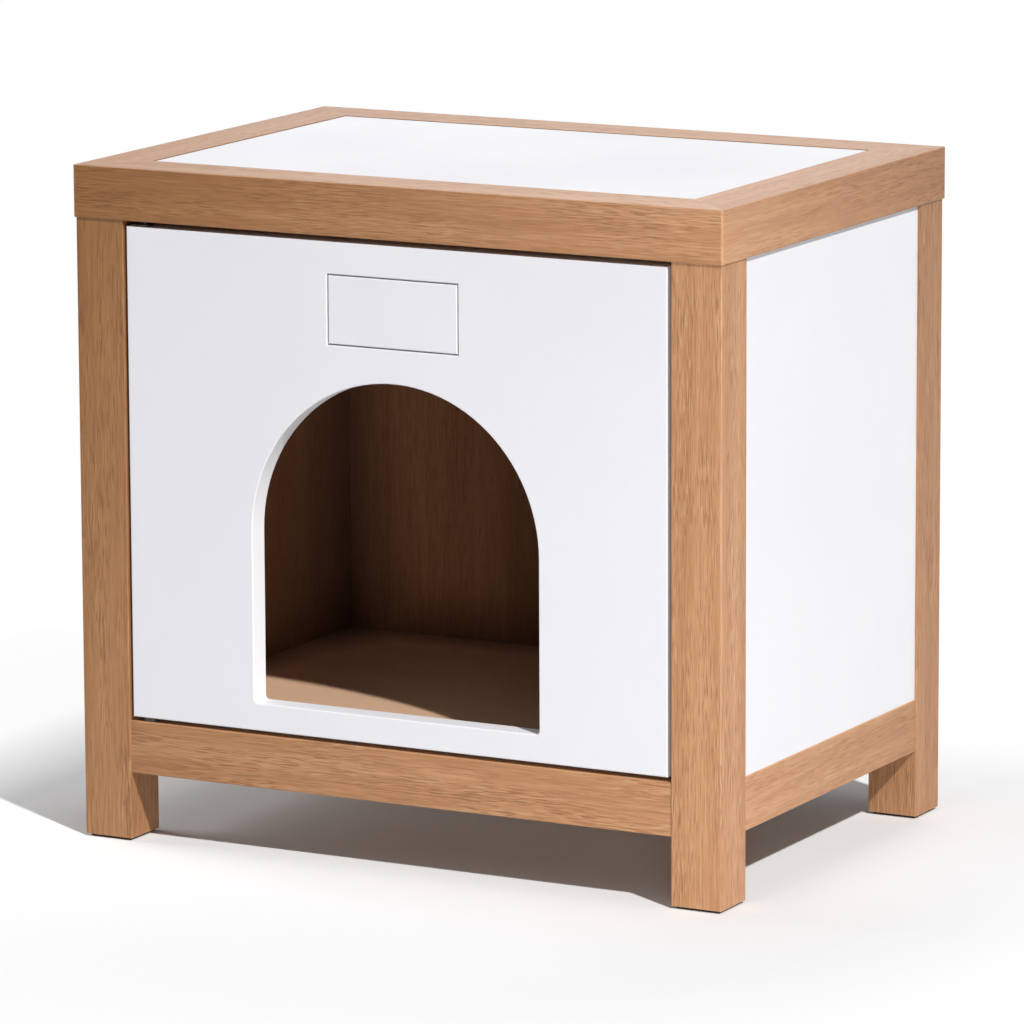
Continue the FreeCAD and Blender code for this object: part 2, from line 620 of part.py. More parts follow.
def make_wall_panel(side):
    """A white panel that stands on its bottom rail, in the grooves of two posts."""
    inwards, span, spot = SIDES[side]
    length = f"{span} - 2 * (dims.post_side - dims.groove_depth + dims.board_fit)"
    panel = board(f"{side}_wall_panel", length, "dims.wall_thickness", f"{CAP_BOTTOM} - {RAIL_TOP}")
    x, y = spot("dims.wall_recess + dims.wall_thickness / 2")
    place(panel, x, y, RAIL_TOP, facing(inwards))


def make_side_lining(side):
    sign = -1 if side == "left" else 1
    rear_end = f"({REAR_LINING_FRONT} + dims.housing_depth - dims.board_fit)"
    height = f"({CAP_BOTTOM} - {FLOOR_TOP})"
    lining = new_body(f"{side}_lining")
    plan = sketch_on(lining, "XY_Plane")
    rectangle(plan, "0", f"{-sign} * dims.lining_thickness", CABIN_FRONT, rear_end)
    pad(lining, plan, height)
    edge = f"{CABIN_FRONT} + dims.lining_screw_edge"
    screws = [(edge, f"{level} - {FLOOR_TOP}") for level in SCREW_LEVELS]
    screw_holes(lining, "YZ_Plane", f"{-sign} * dims.lining_thickness", screws, backwards=sign > 0)
    place(lining, f"{sign} * ({HALF_W} - dims.post_side)", "0", FLOOR_TOP)


def make_rear_lining():
    """The rear lining lies on the rear posts, and the side linings end in its two housings."""
    half = f"({HALF_W} - dims.post_side + dims.lining_overlap)"
    lining = new_body("rear_lining")
    plan = sketch_on(lining, "XY_Plane")
    rectangle(plan, f"-{half}", half, "0", "dims.lining_thickness")
    pad(lining, plan, f"{CAP_BOTTOM} - {FLOOR_TOP}")
    outer = f"({HALF_W} - dims.post_side + dims.board_fit)"
    inner = f"({HALF_W} - dims.post_side - dims.lining_thickness - dims.board_fit)"
    for sign in (-1, 1):
        housing = sketch_on(lining, "XY_Plane")
        rectangle(housing, f"{sign} * {inner}", f"{sign} * {outer}", f"-{BEYOND}", "dims.housing_depth")
        pocket(lining, housing, f"{CAP_BOTTOM} - {FLOOR_TOP}", backwards=True)
    screw_x = f"({half} - dims.lining_screw_edge)"
    screws = [(f"{sign} * {screw_x}", f"{level} - {FLOOR_TOP}") for sign in (-1, 1) for level in SCREW_LEVELS]
    screw_holes(lining, "XZ_Plane", "0", screws)
    place(lining, "0", REAR_LINING_FRONT, FLOOR_TOP)


def make_floor_board():
    """The floor lies on the rails, is notched round the posts and starts where the door's heel swings by."""
    side = f"({HALF_W} - {WALL_BACK} - dims.floor_gap)"
    rear = f"({HALF_D} - {WALL_BACK} - dims.floor_gap)"
    notch_x = f"({HALF_W} - dims.post_side - dims.floor_gap)"
    notch_y = f"({HALF_D} - dims.post_side - dims.floor_gap)"
    right_half = [
        (notch_x, CABIN_FRONT),
        (notch_x, f"-{notch_y}"),
        (side, f"-{notch_y}"),
        (side, notch_y),
        (notch_x, notch_y),
        (notch_x, rear),
    ]
    left_half = [(f"-{x}", y) for x, y in reversed(right_half)]
    floor = new_body("floor_board")
    plan = sketch_on(floor, "XY_Plane")
    outline(plan, right_half + left_half)
    pad(floor, plan, "dims.floor_thickness")
    screw_holes(floor, "XY_Plane", "dims.floor_thickness", floor_screw_spots())
    place(floor, z=RAIL_TOP)


def floor_screw_spots():
    spots = []
    for side in ("left", "right"):
        inset, outer = floor_screw_row(side)
        sign = -1 if side == "left" else 1
        spots += [(f"{sign} * ({HALF_W} - ({inset}))", f"{n} * {outer}") for n in (-1, 0, 1)]
    inset, outer = floor_screw_row("rear")
    spots += [(f"{n} * {outer}", f"{HALF_D} - ({inset})") for n in (-1, 0, 1)]
    return spots


def make_door():
    door = new_body("door_panel")
    face = sketch_on(door, "XZ_Plane")
    rectangle(face, DOOR_LEFT, DOOR_RIGHT, "0", DOOR_HEIGHT)
    pad(door, face, "dims.door_thickness", backwards=True)

    # The way in: an upright rectangle under a half circle
    radius = "(dims.arch_width / 2)"
    spring = f"({DOOR_HEIGHT} - dims.crown_band - {radius})"
    way_in = sketch_on(door, "XZ_Plane")
    half, sill, high = number(radius), number("dims.sill_height"), number(spring)
    corners = [(-half, high), (-half, sill), (half, sill), (half, high)]
    spots = [FreeCAD.Vector(x, z, 0) for x, z in corners]
    left, bottom, right = [
        way_in.addGeometry(Part.LineSegment(start, end)) for start, end in zip(spots, spots[1:])
    ]
    crown = way_in.addGeometry(Part.Arc(spots[3], FreeCAD.Vector(0, high + half, 0), spots[0]))
    for line, following in ((left, bottom), (bottom, right)):
        way_in.addConstraint(Sketcher.Constraint("Coincident", line, 2, following, 1))
    way_in.addConstraint(Sketcher.Constraint("Coincident", right, 2, crown, 1))
    way_in.addConstraint(Sketcher.Constraint("Coincident", crown, 2, left, 1))
    way_in.addConstraint(Sketcher.Constraint("Vertical", left))
    way_in.addConstraint(Sketcher.Constraint("Vertical", right))
    hold(way_in, "DistanceX", bottom, 1, f"-{radius}")
    hold(way_in, "DistanceY", bottom, 1, "dims.sill_height")
    hold(way_in, "DistanceX", bottom, 2, radius)
    hold(way_in, "DistanceY", bottom, 2, "dims.sill_height")
    hold(way_in, "DistanceY", crown, 3, spring)
    hold(way_in, "DistanceY", left, 1, spring)
    hold(way_in, "DistanceY", right, 2, spring)
    pocket(door, way_in, "dims.door_thickness")
    ease(door, "dims.arch_corner", lambda edge: runs_along(edge, "y") and lies_at(edge, "z", sill))
    back = number("dims.door_thickness")
    ease(door, "dims.door_round", lambda edge: lies_at(edge, "y", 0) or lies_at(edge, "y", back))

    # Recess for the small plate
    recess = sketch_on(door, "XZ_Plane")
    reach = "(dims.plate_width / 2 + dims.plate_gap)"
    bottom_edge = f"{PLATE_BOTTOM} - dims.plate_gap"
    top_edge = f"{PLATE_BOTTOM} + dims.plate_height + dims.plate_gap"
    rectangle(recess, f"-{reach}", reach, bottom_edge, top_edge)
    pocket(door, recess, PLATE_BED)
    side, low = number(reach) + TOUCH, number(bottom_edge) - TOUCH
    ease(
        door,
        "dims.plate_round",
        lambda edge: lies_at(edge, "y", 0) and edge.BoundBox.XMax < side and edge.BoundBox.ZMin > low,
    )

    # Holes for the bushes in both ends, and for the strike screws in the back
    pivot = [(PIVOT_X, "dims.pivot_setback")]
    bush_hole = f"{BUSH_RADIUS} + dims.seat_fit"
    drill(door, "XY_Plane", DOOR_HEIGHT, pivot, bush_hole, BUSH_LENGTH)
    drill(door, "XY_Plane", "0", pivot, bush_hole, BUSH_LENGTH, backwards=True)
    screws = [(x, f"{STRIKE_MIDDLE} - {DOOR_BOTTOM}") for x in strike_screw_spots()]
    depth = "dims.catch_screw - dims.strike_thickness"
    drill(door, "XZ_Plane", "-dims.door_thickness", screws, SCREW_HOLE, depth, backwards=True)
    place(door, "0", DOOR_FRONT, DOOR_BOTTOM)


def make_small_plate():
    plate = new_body("name_plate")
    face = sketch_on(plate, "XZ_Plane")
    half = "(dims.plate_width / 2)"
    rectangle(face, f"-{half}", half, "0", "dims.plate_height")
    pad(plate, face, "dims.plate_thickness", backwards=True)
    ease(plate, "dims.plate_round", lambda edge: lies_at(edge, "y", 0))
    place(plate, "0", f"{DOOR_FRONT} + dims.plate_recess", f"{DOOR_BOTTOM} + {PLATE_BOTTOM}")

    strip = board("tape_strip", "dims.tape_width", "dims.tape_length", "dims.tape_thickness", kept=False)
    behind = f"{DOOR_FRONT} + {PLATE_BED}"
    middle = f"{DOOR_BOTTOM} + {PLATE_MIDDLE}"
    forwards = aim((0, -1, 0))
    spots = [(f"{sign} * dims.tape_spacing / 2", behind, middle, forwards) for sign in (-1, 1)]
    group("plate_tape", strip, spots)


def make_pivots():
    """Two steel pins fixed in the frame turn in two flanged bushes that are pressed into the door."""
    sizes = {
        "lower": ("dims.door_bottom_gap", f"{RAIL_TOP} - dims.pin_in_frame"),
        "upper": ("dims.door_top_gap", f"{DOOR_TOP} - dims.pin_in_door"),
    }
    bevel = "dims.pin_bevel"
    for name, (gap, bottom) in sizes.items():
        length = f"(dims.pin_in_frame + {gap} + dims.pin_in_door)"
        pin = turned(
            f"{name}_pivot_pin",
            [
                ("0", "0"),
                (f"{PIN_RADIUS} - {bevel}", "0"),
                (PIN_RADIUS, bevel),
                (PIN_RADIUS, f"{length} - {bevel}"),
                (f"{PIN_RADIUS} - {bevel}", length),
                ("0", length),
            ],
        )
        place(pin, PIVOT_X, PIVOT_Y, bottom)

    flange = "(dims.flange_diameter / 2)"
    for name, level, direction in (("lower", DOOR_BOTTOM, (0, 0, 1)), ("upper", DOOR_TOP, (0, 0, -1))):
        bush = turned(
            f"{name}_pivot_bush",
            [
                (BUSH_BORE, "-dims.bush_flange"),
                (flange, "-dims.bush_flange"),
                (flange, "0"),
                (BUSH_RADIUS, "0"),
                (BUSH_RADIUS, BUSH_LENGTH),
                (BUSH_BORE, BUSH_LENGTH),
            ],
        )
        place(bush, PIVOT_X, PIVOT_Y, level, aim(direction))

    washer = doc.addObject("Part::Cut", "door_thrust_washer")
    washer.Base = doc.addObject("Part::Cylinder", "washer_disc")
    washer.Tool = doc.addObject("Part::Cylinder", "washer_bore")
    for part, radius in ((washer.Base, flange), (washer.Tool, f"{PIN_RADIUS} + dims.seat_fit")):
        part.setExpression("Radius", radius)
        part.setExpression("Height", "dims.door_bottom_gap - dims.bush_flange")
    place(washer, PIVOT_X, PIVOT_Y, RAIL_TOP)
    pieces.append(washer)


def catch_screw_spots():
    middle_y = f"({CATCH_FRONT} + dims.catch_depth / 2)"
    return [(f"{CATCH_MIDDLE} + {sign} * dims.catch_screw_spacing / 2", middle_y) for sign in (-1, 1)]


def strike_screw_spots():
    return [f"{CATCH_MIDDLE} + {sign} * dims.strike_screw_spacing / 2" for sign in (-1, 1)]


def make_catch():
    """A magnetic catch under the cap, and a steel strike plate on the back of the door."""
    body = new_body("catch_body")
    profile = sketch_on(body, "XZ_Plane")
    wide, narrow = "(dims.catch_length / 2)", "(dims.catch_block / 2)"
    right_half = [
        (narrow, "-dims.catch_height"),
        (narrow, "-dims.catch_flange"),
        (wide, "-dims.catch_flange"),
        (wide, "0"),
    ]
    left_half = [(f"-{x}", z) for x, z in reversed(right_half)]
    outline(profile, right_half + left_half)
    pad(body, profile, "dims.catch_depth", backwards=True)
    magnet_middle = "(dims.catch_flange - dims.catch_height) / 2 - dims.catch_flange"
    half_stack = "(dims.magnet_height / 2 + dims.pole_thickness)"
    half_magnet = "(dims.magnet_length / 2)"
    cavity = sketch_on(body, "XZ_Plane")
    low, high = f"{magnet_middle} - {half_stack}", f"{magnet_middle} + {half_stack}"
    rectangle(cavity, f"-{half_magnet}", half_magnet, low, high)
    pocket(body, cavity, "dims.magnet_depth")
    screws = [(f"{sign} * dims.catch_screw_spacing / 2", "-dims.catch_depth / 2") for sign in (-1, 1)]
    screw_holes(body, "XY_Plane", "-dims.catch_flange", [(x, f"-({y})") for x, y in screws], backwards=True)
    place(body, CATCH_MIDDLE, CATCH_FRONT, CAP_BOTTOM)

    magnet = board("catch_magnet", "dims.magnet_length", "dims.magnet_depth", "dims.magnet_height")
    middle_y = f"{CATCH_FRONT} + dims.magnet_depth / 2"
    middle_z = f"({CAP_BOTTOM} + {magnet_middle})"
    place(magnet, CATCH_MIDDLE, middle_y, f"{middle_z} - dims.magnet_height / 2")
    pole_depth = "(dims.magnet_depth + dims.pole_proud)"
    pole = board("pole_plate", "dims.magnet_length", pole_depth, "dims.pole_thickness", kept=False)
    pole_y = f"{CATCH_FRONT} - dims.pole_proud + {pole_depth} / 2"
    levels = (f"{middle_z} - {half_stack}", f"{middle_z} + dims.magnet_height / 2")
    group("catch_pole_plates", pole, [(CATCH_MIDDLE, pole_y, level, turn(0)) for level in levels])

    strike = new_body("catch_strike_plate")
    face = sketch_on(strike, "XZ_Plane")
    half_x, half_z = "(dims.strike_length / 2)", "(dims.strike_height / 2)"
    rectangle(face, f"-{half_x}", half_x, f"-{half_z}", half_z)
    pad(strike, face, "dims.strike_thickness", backwards=True)
    holes = [(f"{sign} * dims.strike_screw_spacing / 2", "0") for sign in (-1, 1)]
    screw_holes(strike, "XZ_Plane", "-dims.strike_thickness", holes, backwards=True)
    place(strike, CATCH_MIDDLE, DOOR_BACK, STRIKE_MIDDLE)


def wood_screw(label, length):
    """Pattern of a countersunk wood screw: the head's top is at z = 0 and the point below."""
    head = "(dims.screw_head / 2)"
    screw = turned(
        label,
        [
            ("0", "0"),
            (head, "0"),
            (SCREW_RADIUS, f"{SCREW_RADIUS} - {head}"),
            (SCREW_RADIUS, f"dims.screw_tip - {length}"),
            ("0", f"-{length}"),
        ],
        kept=False,
    )
    cross_slot(screw, "dims.screw_cross", "dims.screw_cross_width", "dims.screw_cross_depth")
    return screw


def make_screws():
    lining_screw = wood_screw("lining_screw_pattern", "dims.lining_screw")
    spots = []
    for sign in (-1, 1):
        side_x = f"{sign} * ({HALF_W} - dims.post_side - dims.lining_thickness)"
        side_y = f"{CABIN_FRONT} + dims.lining_screw_edge"
        rear_x = f"{sign} * ({HALF_W} - dims.post_side + dims.lining_overlap - dims.lining_screw_edge)"
        for level in SCREW_LEVELS:
            spots.append((side_x, side_y, level, aim((-sign, 0, 0))))
            spots.append((rear_x, REAR_LINING_FRONT, level, aim((0, -1, 0))))
    group("lining_screws", lining_screw, spots)

    floor_screw = wood_screw("floor_screw_pattern", "dims.floor_screw")
    group("floor_screws", floor_screw, [(x, y, FLOOR_TOP, turn(0)) for x, y in floor_screw_spots()])

    catch_screw = wood_screw("catch_screw_pattern", "dims.catch_screw")
    under_flange = f"{CAP_BOTTOM} - dims.catch_flange"
    down = aim((0, 0, -1))
    group("catch_screws", catch_screw, [(x, y, under_flange, down) for x, y in catch_screw_spots()])
    strike_back = f"{DOOR_BACK} + dims.strike_thickness"
    inwards = aim((0, 1, 0))
    group("strike_screws", catch_screw, [(x, strike_back, STRIKE_MIDDLE, inwards) for x in strike_screw_spots()])


def make_dowel():
    radius, half, bevel = "(dims.dowel_diameter / 2)", "(dims.dowel_length / 2)", "dims.dowel_bevel"
    return turned(
        "dowel_pattern",
        [
            ("0", f"-{half}"),
            (f"{radius} - {bevel}", f"-{half}"),
            (radius, f"{bevel} - {half}"),
            (radius, f"{half} - {bevel}"),
            (f"{radius} - {bevel}", half),
            ("0", half),
        ],
        kept=False,
    )


def make_cam_bolt():
    """Pattern of a cam bolt: the joint is at z = 0, the thread above it, the head down in the cam lock."""
    shank, neck, head = [f"(dims.{name} / 2)" for name in ("bolt_diameter", "bolt_neck", "bolt_head")]
    head_top = "(dims.bolt_head_length / 2 - dims.cam_reach)"
    neck_top = f"({head_top} + dims.bolt_neck_length)"
    return turned(
        "cam_bolt_pattern",
        [
            ("0", f"{head_top} - dims.bolt_head_length"),
            (head, f"{head_top} - dims.bolt_head_length"),
            (head, head_top),
            (neck, head_top),
            (neck, neck_top),
            (shank, neck_top),
            (shank, "dims.bolt_thread"),
            ("0", "dims.bolt_thread"),
        ],
        kept=False,
    )


def make_cam():
    """Pattern of a cam lock: its face is at z = 0 and its bolt comes in along +X."""
    cam = new_body("cam_pattern", kept=False)
    disc = sketch_on(cam, "XY_Plane")
    circle(disc, "0", "0", "dims.cam_diameter / 2")
    pad(cam, disc, "dims.cam_length", backwards=True)
    cross_slot(cam, "dims.cam_cross", "dims.cam_cross_width", "dims.cam_cross_depth")
    mouth = [("0", "-dims.cam_axis")]
    depth = f"dims.cam_mouth_depth + dims.cam_diameter / 2 + {BEYOND}"
    drill(cam, "YZ_Plane", "-dims.cam_mouth_depth", mouth, "dims.cam_mouth / 2", depth, backwards=True)
    return cam


def make_joints():
    """Dowels, cam bolts and cam locks of the rails and the cap, and the splines of the mitres."""
    dowel, bolt, cam = make_dowel(), make_cam_bolt(), make_cam()
    dowels, bolts, cams = [], [], []
    for direction, span, spot in SIDES.values():
        along = facing(direction).multVec(FreeCAD.Vector(1, 0, 0))
        inwards = FreeCAD.Vector(*direction)

        def on_rail(distance, inset):
            x, y = spot(inset)
            return (
                f"{x} + {round(along.x)} * ({distance})",
                f"{y} + {round(along.y)} * ({distance})",
            )

        for sign in (-1, 1):
            end = f"{sign} * ({span} / 2 - dims.post_side)"
            out = along * sign
            dowel_x, dowel_y = on_rail(end, "dims.rail_recess + dims.rail_thickness / 2")
            dowels.append((dowel_x, dowel_y, f"{RAIL_BOTTOM} + dims.dowel_rise", aim(out)))
            bolt_x, bolt_y = on_rail(end, "dims.rail_recess + dims.rail_thickness - dims.cam_axis")
            bolts.append((bolt_x, bolt_y, f"{RAIL_BOTTOM} + dims.cam_rise", aim(out)))
            middle = f"{sign} * ({span} / 2 - dims.post_side - dims.cam_reach)"
            cam_x, cam_y = on_rail(middle, "dims.rail_recess + dims.rail_thickness")
            rotation = FreeCAD.Rotation(out, FreeCAD.Vector(), inwards, "ZXY")
            cams.append((cam_x, cam_y, f"{RAIL_BOTTOM} + dims.cam_rise", rotation))
    group("rail_dowels", dowel, dowels)
    group("rail_cam_bolts", bolt, bolts)
    group("rail_cams", cam, cams)

    dowels, bolts, cams = [], [], []
    for sx, sy in CORNERS.values():
        def on_post(x_inset, y_inset):
            return f"{sx} * ({HALF_W} - ({x_inset}))", f"{sy} * ({HALF_D} - ({y_inset}))"

        dowels.append((*on_post(*cap_dowel_insets(sy)), CAP_BOTTOM, turn(0)))
        bolts.append((*on_post(*cap_bolt_insets(sy)), CAP_BOTTOM, turn(0)))
        if sy < 0:
            face, spot = FreeCAD.Vector(0, -sy, 0), on_post("dims.cap_cam_offset", "dims.post_side")
        else:
            face, spot = FreeCAD.Vector(-sx, 0, 0), on_post("dims.post_side", "dims.cap_cam_offset")
        rotation = FreeCAD.Rotation(UP, FreeCAD.Vector(), face, "ZXY")
        cams.append((*spot, f"{CAP_BOTTOM} - dims.cam_reach", rotation))
    group("cap_dowels", dowel, dowels)
    group("cap_cam_bolts", bolt, bolts)
    group("cap_cams", cam, cams)

    length = "2 * (sqrt(2) * dims.spline_run - dims.board_fit)"
    width = "2 * (sqrt(2) * dims.spline_bite - dims.board_fit)"
    spline = board("spline_pattern", length, width, "dims.spline_thickness", kept=False)
    reach = f"dims.cap_overhang - {CAP_WIDTH} / 2"
    level = f"{CAP_BOTTOM} + dims.spline_rise - dims.spline_thickness / 2"
    places = [
        (f"{sx} * ({HALF_W} + {reach})", f"{sy} * ({HALF_D} + {reach})", level, turn(45 * sx * sy))
        for sx, sy in CORNERS.values()
    ]
    group("mitre_splines", spline, places)


for corner_name in CORNERS:
    make_post(corner_name)
    make_foot_pad(corner_name)
for side_name in SIDES:
    make_bottom_rail(side_name)
    make_cap_rail(side_name)
make_top_panel()
for side_name in ("left", "right", "rear"):
    make_wall_panel(side_name)
for side_name in ("left", "right"):
    make_side_lining(side_name)
make_rear_lining()
make_floor_board()
make_door()
make_small_plate()
make_pivots()
make_catch()
make_screws()
make_joints()
doc.recompute()

for item in doc.Objects:
    if "Invalid" in item.State or "Error" in item.State:
        raise RuntimeError(f"{item.Label} did not build: {item.State}")
for piece in pieces:
    if piece.Shape.isNull() or not piece.Shape.isValid() or not piece.Shape.Solids:
        raise RuntimeError(f"{piece.Label} has no sound shape")

os.makedirs("parts", exist_ok=True)
for piece in pieces:
    piece.Shape.exportStep(f"parts/{piece.Label}.step")
print(f"{len(pieces)} pieces, {sum(len(piece.Shape.Solids) for piece in pieces)} solids")
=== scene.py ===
# %% [markdown]
# # Cat house
# A small cabinet for a cat: an oak frame on four legs, white lacquered panels, and a door with an arched
# way in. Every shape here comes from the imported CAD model, so this lesson is about what covers those
# shapes. We make oak, lacquer, metal, plastic and rubber from shader nodes alone, and then light and
# photograph the house on a white floor.

# %% Load the model
import math

import bpy
from mathutils import Matrix, Vector


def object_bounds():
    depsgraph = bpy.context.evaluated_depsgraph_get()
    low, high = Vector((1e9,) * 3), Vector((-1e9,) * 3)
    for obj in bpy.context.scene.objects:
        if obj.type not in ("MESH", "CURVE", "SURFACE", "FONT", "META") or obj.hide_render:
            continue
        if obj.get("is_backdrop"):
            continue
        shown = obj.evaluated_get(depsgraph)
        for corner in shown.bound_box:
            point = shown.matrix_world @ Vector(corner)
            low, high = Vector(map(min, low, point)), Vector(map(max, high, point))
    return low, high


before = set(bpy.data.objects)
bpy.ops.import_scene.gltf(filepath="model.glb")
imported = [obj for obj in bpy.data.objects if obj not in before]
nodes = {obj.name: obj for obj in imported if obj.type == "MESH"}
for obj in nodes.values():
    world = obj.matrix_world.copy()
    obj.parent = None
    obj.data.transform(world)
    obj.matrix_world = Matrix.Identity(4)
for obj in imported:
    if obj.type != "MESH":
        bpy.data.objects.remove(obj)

cad_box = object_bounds()
print(len(nodes), "pieces in a box of", [round(high - low, 4) for low, high in zip(*cad_box)], "m")

# %% [markdown]
# ## Measures
# Some finishes change from place to place: oak bleaches at a sunny corner, dust gathers in the cabin. For
# those we need a few places of the house. We could type them in, but the boxes of the pieces know them
# already, and the finishes then follow the model when it changes.

# %% Faces of the house and of the cabin
AXES = {"x": 0, "y": 1, "z": 2}


def face_of(piece, axis, pick):
    """Where a piece begins or ends along an axis: pick is min or max."""
    return pick(corner[AXES[axis]] for corner in nodes[piece].bound_box)


house_right = face_of("cap_right_rail", "x", max)
house_front = face_of("cap_front_rail", "y", min)
house_rear = face_of("cap_rear_rail", "y", max)
cabin_side = -face_of("left_lining", "x", max)
cabin_rear = face_of("rear_lining", "y", min)
cabin_floor = face_of("floor_board", "z", max)
door_back = face_of("door_panel", "y", max)
print("the cabin is", round(2 * cabin_side, 3), "m wide inside")

# %% [markdown]
# ## Helpers for finishes
# A finish is a material: a Principled shader with a few textures plugged into it. Colours are easiest to
# read as the hex codes of a paint chart, but shaders want linear light, so one helper converts them. The
# others start a finish, add a node to it and plug a node into the shader, which keeps each recipe below to
# a few readable lines.

# %% Colours, new finishes and nodes
def paint(code):
    """A hex colour as linear red, green, blue and alpha."""
    channels = [int(code[i:i + 2], 16) / 255 for i in (0, 2, 4)]
    linear = [c / 12.92 if c <= 0.04045 else ((c + 0.055) / 1.055) ** 2.4 for c in channels]
    return (*linear, 1.0)


def start_finish(name):
    """A new material with a plain Principled shader."""
    finish = bpy.data.materials.new(name)
    finish.use_nodes = True
    return finish, finish.node_tree.nodes["Principled BSDF"]


def add(finish, kind, inputs=None, **settings):
    """Adds a node; each input takes a plain value or another node's output."""
    node = finish.node_tree.nodes.new(f"ShaderNode{kind}")
    for setting, value in settings.items():
        setattr(node, setting, value)
    for key, value in (inputs or {}).items():
        if isinstance(value, bpy.types.NodeSocket):
            finish.node_tree.links.new(value, node.inputs[key])
        else:
            node.inputs[key].default_value = value
    return node


def join(finish, output, shader, key):
    """Plugs an output into a socket of the shader."""
    finish.node_tree.links.new(output, shader.inputs[key])


print("helpers ready:", ", ".join(f.__name__ for f in (paint, start_finish, add, join)))

# %% [markdown]
# ## Stretched noise for wood
# Wood is the same everywhere along the grain and different across it. A photo of a board would show that,
# but it would not follow the board round its corners. Instead we take noise in the model's own metres and
# squeeze it: few changes per metre along the grain, many across. The noise fills space, so end grain,
# edges and faces all agree. With the same number both ways it is plain noise, for paint and plastic.

# %% Noise along the grain
def place_on(finish):
    """The place of each spot of a piece, in the model's own metres."""
    return add(finish, "TexCoord").outputs["Object"]


def grain(finish, axis, along, across, seed, detail=2.0, distortion=0.0):
    """Noise with so many changes per metre along the grain and across it."""
    stretch = [across] * 3
    stretch[AXES[axis]] = along
    start = (seed, 1.7 * seed, 0.6 * seed)
    moved = add(finish, "Mapping", {"Vector": place_on(finish), "Scale": stretch, "Location": start})
    inputs = {"Vector": moved.outputs["Vector"], "Scale": 1.0, "Detail": detail, "Distortion": distortion}
    return add(finish, "TexNoise", inputs).outputs["Fac"]


def round_noise(finish, scale, seed, detail=2.0):
    """Plain noise, the same in every direction."""
    return grain(finish, "x", scale, scale, seed, detail)


print("noise runs along", ", ".join(AXES))

# %% [markdown]
# ## Sums with textures
# Noise comes out as a number that mostly lies between 0.3 and 0.7. To use it for a colour, a gloss or a
# dent, we stretch that part to the range we want, combine it with other numbers, and lay one colour over
# another by the result. Each of these is one node in Blender. The wires could be drawn by hand in the
# shader editor, but a helper for each node lets a recipe be read from top to bottom.

# %% Ranges, sums and tints
MOST_OF_NOISE = (0.3, 0.7)


def span(finish, value, low, high, to_low=0.0, to_high=1.0):
    """Maps the part of a value between low and high to a new range, and holds the ends."""
    inputs = {"Value": value, "From Min": low, "From Max": high, "To Min": to_low, "To Max": to_high}
    return add(finish, "MapRange", inputs, clamp=True).outputs["Result"]


def swing(finish, noise, to_low=0.0, to_high=1.0):
    """Stretches the middle of a noise, where most of it lies, to a new range."""
    return span(finish, noise, *MOST_OF_NOISE, to_low, to_high)


def sums(finish, operation, first, second=0.0):
    """A sum with two numbers."""
    return add(finish, "Math", {0: first, 1: second}, operation=operation).outputs["Value"]


def times(finish, first, second):
    """The product of two numbers."""
    return sums(finish, "MULTIPLY", first, second)


def places(finish, operation, first, second=(0, 0, 0), result="Vector"):
    """A sum with places or directions."""
    return add(finish, "VectorMath", {0: first, 1: second}, operation=operation).outputs[result]


def split(finish, place):
    """The X, Y and Z of a place or a direction."""
    return add(finish, "SeparateXYZ", {0: place}).outputs


def tint(finish, amount, under, over, blend="MIX"):
    """Lays one colour over another by an amount from 0 to 1."""
    mix = add(finish, "Mix", {0: amount, 6: under, 7: over}, data_type="RGBA", blend_type=blend)
    return mix.outputs[2]


print("sums ready:", ", ".join(f.__name__ for f in (span, swing, sums, times, places, split, tint)))

# %% [markdown]
# ## Worn edges and small dents
# Hands and paws polish the edges of furniture first. The Bevel node gives the normal that a rounded edge
# would have, and where that differs from the true normal there is an edge. On the oak, the paler edges are
# partly this wear and partly a painted highlight, where a rounded edge would catch the light. Painting a mask
# by hand would do as well, but this one needs no unwrapping and follows every piece, whatever its size. Pores
# and ripples are far too small to model, so a Bump node only tilts the light there.

# %% A mask for edges, and dents
EDGE_SAMPLES = 6
FACE, EDGE = 0.995, 0.86


def edges(finish, reach):
    """1 on the edges of a piece and 0 on its faces."""
    rounded = add(finish, "Bevel", {"Radius": reach}, samples=EDGE_SAMPLES).outputs["Normal"]
    true = add(finish, "NewGeometry").outputs["Normal"]
    same = places(finish, "DOT_PRODUCT", rounded, true, "Value")
    return span(finish, same, FACE, EDGE)


def dent(finish, shader, height, strength, depth):
    """Lets a texture press into the surface, to a depth in metres."""
    bump = add(finish, "Bump", {"Height": height, "Strength": strength, "Distance": depth})
    join(finish, bump.outputs["Normal"], shader, "Normal")


print("edge mask and dents ready")

# %% [markdown]
# ## Painted shade on the oak
# The oak is lightest at the foot of the front right corner and on the top of the cap, where the lamps fall
# brightest. Away from that corner it darkens with painted shade, faster further up, and less on faces that
# look upwards. A painted map could do the same, but a distance needs no unwrapping and runs on from board to
# board.

# %% How much painted shade
PAINTED_SHADE_TINT = (0.45, 0.375, 0.215, 1.0)
SUNNY_CORNER = (house_right, house_front, 0.0)
TOP_OF_SHADE = 0.5
SHADE_GROWS = (1.0, 1.6)
SHADE_ABOVE = 0.125
LOOKS_UP = (0.3, 0.8)
SHARE_ON_TOP = 0.5


def shaded_side(finish):
    """Painted shade: 0 at the foot of the sunny corner, about 1 at the top of the far side, and half as much
    on top.
    """
    place = place_on(finish)
    height = split(finish, place)["Z"]
    on_floor = places(finish, "MULTIPLY", place, (1, 1, 0))
    away = places(finish, "DISTANCE", on_floor, SUNNY_CORNER, "Value")
    faster_above = times(finish, away, span(finish, height, 0.0, TOP_OF_SHADE, *SHADE_GROWS))
    above = span(finish, height, 0.0, TOP_OF_SHADE, 0.0, SHADE_ABOVE)
    shaded = sums(finish, "ADD", faster_above, above)
    facing_up = split(finish, add(finish, "TexCoord").outputs["Normal"])["Z"]
    return times(finish, shaded, span(finish, facing_up, *LOOKS_UP, 1.0, SHARE_ON_TOP))


